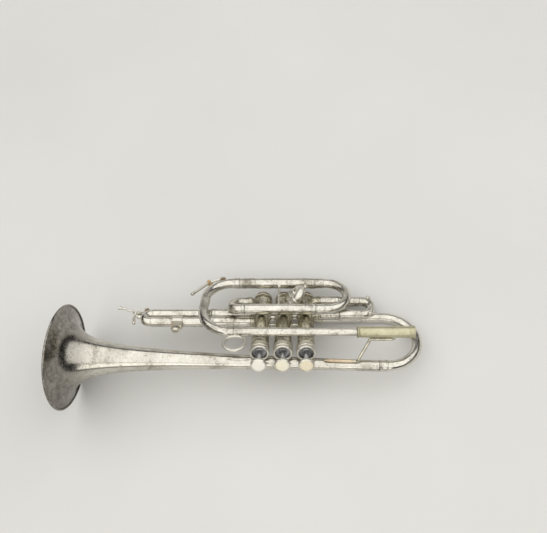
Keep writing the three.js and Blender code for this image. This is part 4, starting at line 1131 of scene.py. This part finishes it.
def make_main_water_key():
    corner = v(LOOP_FRONT_X + FRONT_UPPER_R, LOOP_Y - FRONT_UPPER_R, RIGHT_Z)
    tube_top = FRONT_UPPER_R + LEAD_R + 1.3

    def out(degrees):
        a = math.radians(degrees)
        return v(-math.cos(a), math.sin(a), 0)

    nipple_angle, pin_angle, nipple_height, base = 70, 46, 2.4, 6.0
    nipple = corner + tube_top * out(nipple_angle)
    fit("main_water_nipple_turned", lathe(nipple, nipple + out(nipple_angle), [
        (-0.4, 1.1), (-0.4, 3.7), (0.3, 3.3), (0.9, 2.5), (1.4, 2.15), (nipple_height, 2.1),
        (nipple_height, 1.1)], TUBE_SIDES, 0.12), NICKEL, "main_water_nipple")
    make_water_key(
        "main_water_key", ("main_water_key", FRAME_BODY), BRASS,
        corner + (tube_top + GAP + 1.3 + base) * out(pin_angle), out(pin_angle), base,
        corner + (tube_top + nipple_height + GAP + 2.6) * out(nipple_angle), out(nipple_angle),
        3.9, [v(-108.8, 34, RIGHT_Z)], 1.7, 4.7)


def make_third_water_key():
    tube_top = (THIRD_Y[1] - THIRD_Y[0]) / 2 + TUBE_R
    pin_angle, base = 22, 3.6

    def out(degrees):
        return third_bow(degrees, 1) - third_bow(degrees, 0)

    pin = third_bow(pin_angle, tube_top + GAP + 1.3 + base)
    make_water_key(
        "third_water_key", ("third_water_key", "third_valve_slide"), WORN_NICKEL,
        pin, out(pin_angle), base,
        third_bow(THIRD_NIPPLE_ANGLE, tube_top + THIRD_NIPPLE + GAP + 2.6),
        out(THIRD_NIPPLE_ANGLE),
        3.2, [pin + v(-4.8, 0.6, 0.7), pin + v(-6.2, 0.7, 4.8), pin + v(-12, 0.7, 5.8),
              pin + v(-14.4, 0.7, 7.9), pin + v(-16.4, 0.7, 8.4)], 1.05, 6)


# ------------------------------------------------------------------ braces and ring
def bell_axis(x):
    return BELL_RIM + (BELL_TAIL - BELL_RIM) * (x - BELL_RIM[0]) / (BELL_TAIL[0] - BELL_RIM[0])


def bell_radius_at(x):
    return max(bell_radius(x - BELL_RIM[0]), TUBE_R + BELL_WALL)


def make_pinky_ring():
    lift = LEAD_Y - LEAD_R - 0.6 - GAP
    ring_r, wire = 11.6, 1.85
    centre = v(-52.7, lift - ring_r - wire, RIGHT_Z)
    ring = torus(centre, Z, ring_r, wire)
    foot = ball(v(-52.7, lift - 0.1, RIGHT_Z), 2.2, 0.34)
    wide = rod(Path(v(-57.2, lift + 0.1, RIGHT_Z), v(-48.2, lift + 0.1, RIGHT_Z)), 0.8)
    fit("pinky_ring_soldered", fused([ring, foot, wide], 0.2, 3), CAST, "pinky_ring")


def make_receiver_brace():
    lean = unit(v(0, BELL_TAIL[1] - LEAD_Y, BELL_Z - RIGHT_Z))
    bell_side = unit(v(0, -0.3, 0.954))
    foot = 1.5

    def upper(x):
        return v(x, LEAD_Y, RIGHT_Z) + (RECEIVER_R + 0.3 + GAP + foot) * lean

    def lower(x):
        return bell_axis(x) + (bell_radius_at(x) + 2 * GAP + foot) * bell_side

    strut = rod(Path(*chain(
        [upper(108), upper(102)], eased(upper(99.5), upper(97), upper(96.2) + 3.0 * lean, 8),
        eased(lower(83.8) + 3.0 * bell_side, lower(83), lower(80), 8),
        [lower(76), lower(70)])), 1.7)
    high = rod(Path(upper(97), upper(126)), [(0, 0.9), (3, 1.7), (24, 1.7), (29, 0.8)])
    low = rod(Path(lower(46), lower(82)), [(0, 0.8), (6, 2.05), (30, 2.05), (36, 1.1)])
    fit("receiver_brace_upper", fused([strut, high]), WORN_NICKEL, "receiver_brace")
    fit("receiver_brace_lower_foot", fused([low], 0.24, 2), BARE_BRASS)


def make_posts():
    for x, name in ((VALVE_X[0], "rear"), (VALVE_X[2], "front")):
        bell = bell_axis(x)
        start = v(x, -25, 0)
        far = np.linalg.norm(bell - start) - bell_radius_at(x) + 0.6
        near = CASING_R - 1.2
        middle = (near + far) / 2
        post = lathe(start, bell, [
            (near, 0), *shifted(near, 0, [(0, 3.6), (1.9, 3.0), (2.7, 2.0), (3.4, 1.7)]),
            (middle - 0.6, 1.6), (middle, 2.4), (middle + 0.6, 1.6),
            *shifted(far, 0, [(-3.2, 1.7), (-2.4, 2.0), (-1.6, 3.0), (0, 3.4)]), (far, 0),
        ], ROUND_SIDES)
        room = cylinder(line(v(x, -40, 0), v(x, 0, 0)), 0, 30, CASING_R - 0.3)
        fit(f"bell_post_{name}_turned", carved([post], [room]), NICKEL, f"bell_post_{name}")
    half = SLEEVE_R + GAP
    length = LOOP_Y - LOWER_Y - 2 * half
    post = mirrored([
        (-0.6, 0), (-0.6, 3.2), (0.5, 2.5), (1.4, 1.5), (2.4, 1.25),
        *shifted(length / 2, 0, [(-2.4, 1.25), (-1.7, 1.8), (-0.9, 2.3)]),
    ], length)
    fit("loop_post_turned",
        lathe(v(-6, LOWER_Y + half, RIGHT_Z), v(-6, LOOP_Y, RIGHT_Z), post, ROUND_SIDES),
        NICKEL, "loop_post")


make_bell()
make_bell_bow()
make_leadpipe()
make_receiver()
make_front_bend()
make_tuning_sleeves()
make_tuning_slide()
make_entry_bend()
make_casings()
make_crossovers()
for valve, valve_x in enumerate(VALVE_X, 1):
    for make in (make_valve_caps, make_piston, make_button, make_spring):
        make(valve, valve_x)
make_first_slide()
make_second_slide()
make_third_slide()
make_main_water_key()
make_third_water_key()
make_pinky_ring()
make_receiver_brace()
make_posts()


# ------------------------------------------------------------------ floor, light and camera
FLOOR_HALF = 2.4
WORLD_REFLECTED = ((0.80, 0.80, 0.84, 1), 0.04)
WORLD_SEEN = ((0.74, 0.74, 0.725, 1), 1.0)
# Each light's name, place, target, size, power in watts and colour.
LIGHTS = (
    ("key", (0.5, 0.35, 1.5), (0.5, 0.35, 0), (5.6, 4.3), 100.0, (1.0, 0.985, 0.95)),
    ("front", (-0.1, -1.9, 0.8), (0, 0, 0.05), (1.9, 1.0), 9.5, (1.0, 0.97, 0.92)),
    ("back", (0.0, 2.6, 0.42), (0, 0, 0.1), (2.6, 0.75), 3.6, (1.0, 0.98, 0.95)),
)
# The photograph's viewpoint, solved from the valve caps, the bell rim and the main loop.
CAMERA_PLACE = v(15.8, -566.0, 460.3)
CAMERA_TILT = math.radians(34)
CAMERA_LENS = 40.4095
CAMERA_SHIFT = -0.04296


def make_floor():
    mesh = bpy.data.meshes.new("floor")
    half = FLOOR_HALF
    mesh.from_pydata([(-half, -half, 0), (half, -half, 0), (half, half, 0), (-half, half, 0)], [],
                     [(0, 1, 2, 3)])
    floor = bpy.data.objects.new("floor", mesh)
    bpy.context.scene.collection.objects.link(floor)
    material, tree = new_material("pale_floor")
    where = node(tree, "TexCoord").outputs["Object"]
    shade = mix(span(noise(where, 3.0), 0.3, 0.7), (0.66, 0.655, 0.64), (0.70, 0.695, 0.68))
    shader = node(tree, "BsdfPrincipled", {"Base Color": shade, "Roughness": 0.85})
    mesh.materials.append(finish_material(material, tree, shader))


def area_light(name, place, target, size, power, colour):
    """A rectangle of light, unseen by the camera, that faces a target."""
    light = bpy.data.lights.new(name, "AREA")
    light.shape = "RECTANGLE"
    light.size, light.size_y = size
    light.energy = power
    light.color = colour
    made = bpy.data.objects.new(name, light)
    made.location = place
    made.visible_camera = False
    made.rotation_mode = "QUATERNION"
    made.rotation_quaternion = (Vector(target) - Vector(place)).to_track_quat("-Z", "Y")
    bpy.context.scene.collection.objects.link(made)


def make_light():
    """A world that is pale to the camera and dim to reflections, and three area lights."""
    world = bpy.data.worlds.new("studio")
    bpy.context.scene.world = world
    world.use_nodes = True
    tree = world.node_tree
    dim = tree.nodes["Background"]
    dim.inputs["Color"].default_value, dim.inputs["Strength"].default_value = WORLD_REFLECTED
    pale = node(tree, "Background", {"Color": WORLD_SEEN[0], "Strength": WORLD_SEEN[1]})
    seen = node(tree, "LightPath").outputs["Is Camera Ray"]
    both = node(tree, "MixShader", {"Fac": seen})
    tree.links.new(dim.outputs[0], both.inputs[1])
    tree.links.new(pale.outputs[0], both.inputs[2])
    tree.links.new(both.outputs[0], tree.nodes["World Output"].inputs["Surface"])
    for light in LIGHTS:
        area_light(*light)


def make_camera():
    data = bpy.data.cameras.new("camera")
    data.sensor_width, data.lens, data.shift_x = 36.0, CAMERA_LENS, CAMERA_SHIFT
    data.clip_start, data.clip_end = 0.01, 20.0
    camera = bpy.data.objects.new("camera", data)
    looking = v(0, math.cos(CAMERA_TILT), -math.sin(CAMERA_TILT))
    up = v(0, math.sin(CAMERA_TILT), math.cos(CAMERA_TILT))
    turn_only = TO_FRAME.to_3x3().normalized()
    axes = Matrix([turn_only @ Vector(a) for a in (X, up, -looking)]).transposed()
    camera.matrix_world = Matrix.Translation(in_frame(CAMERA_PLACE)) @ axes.to_4x4()
    bpy.context.scene.collection.objects.link(camera)
    bpy.context.scene.camera = camera
    bpy.context.scene.view_settings.view_transform = "Standard"


make_floor()
make_light()
make_camera()
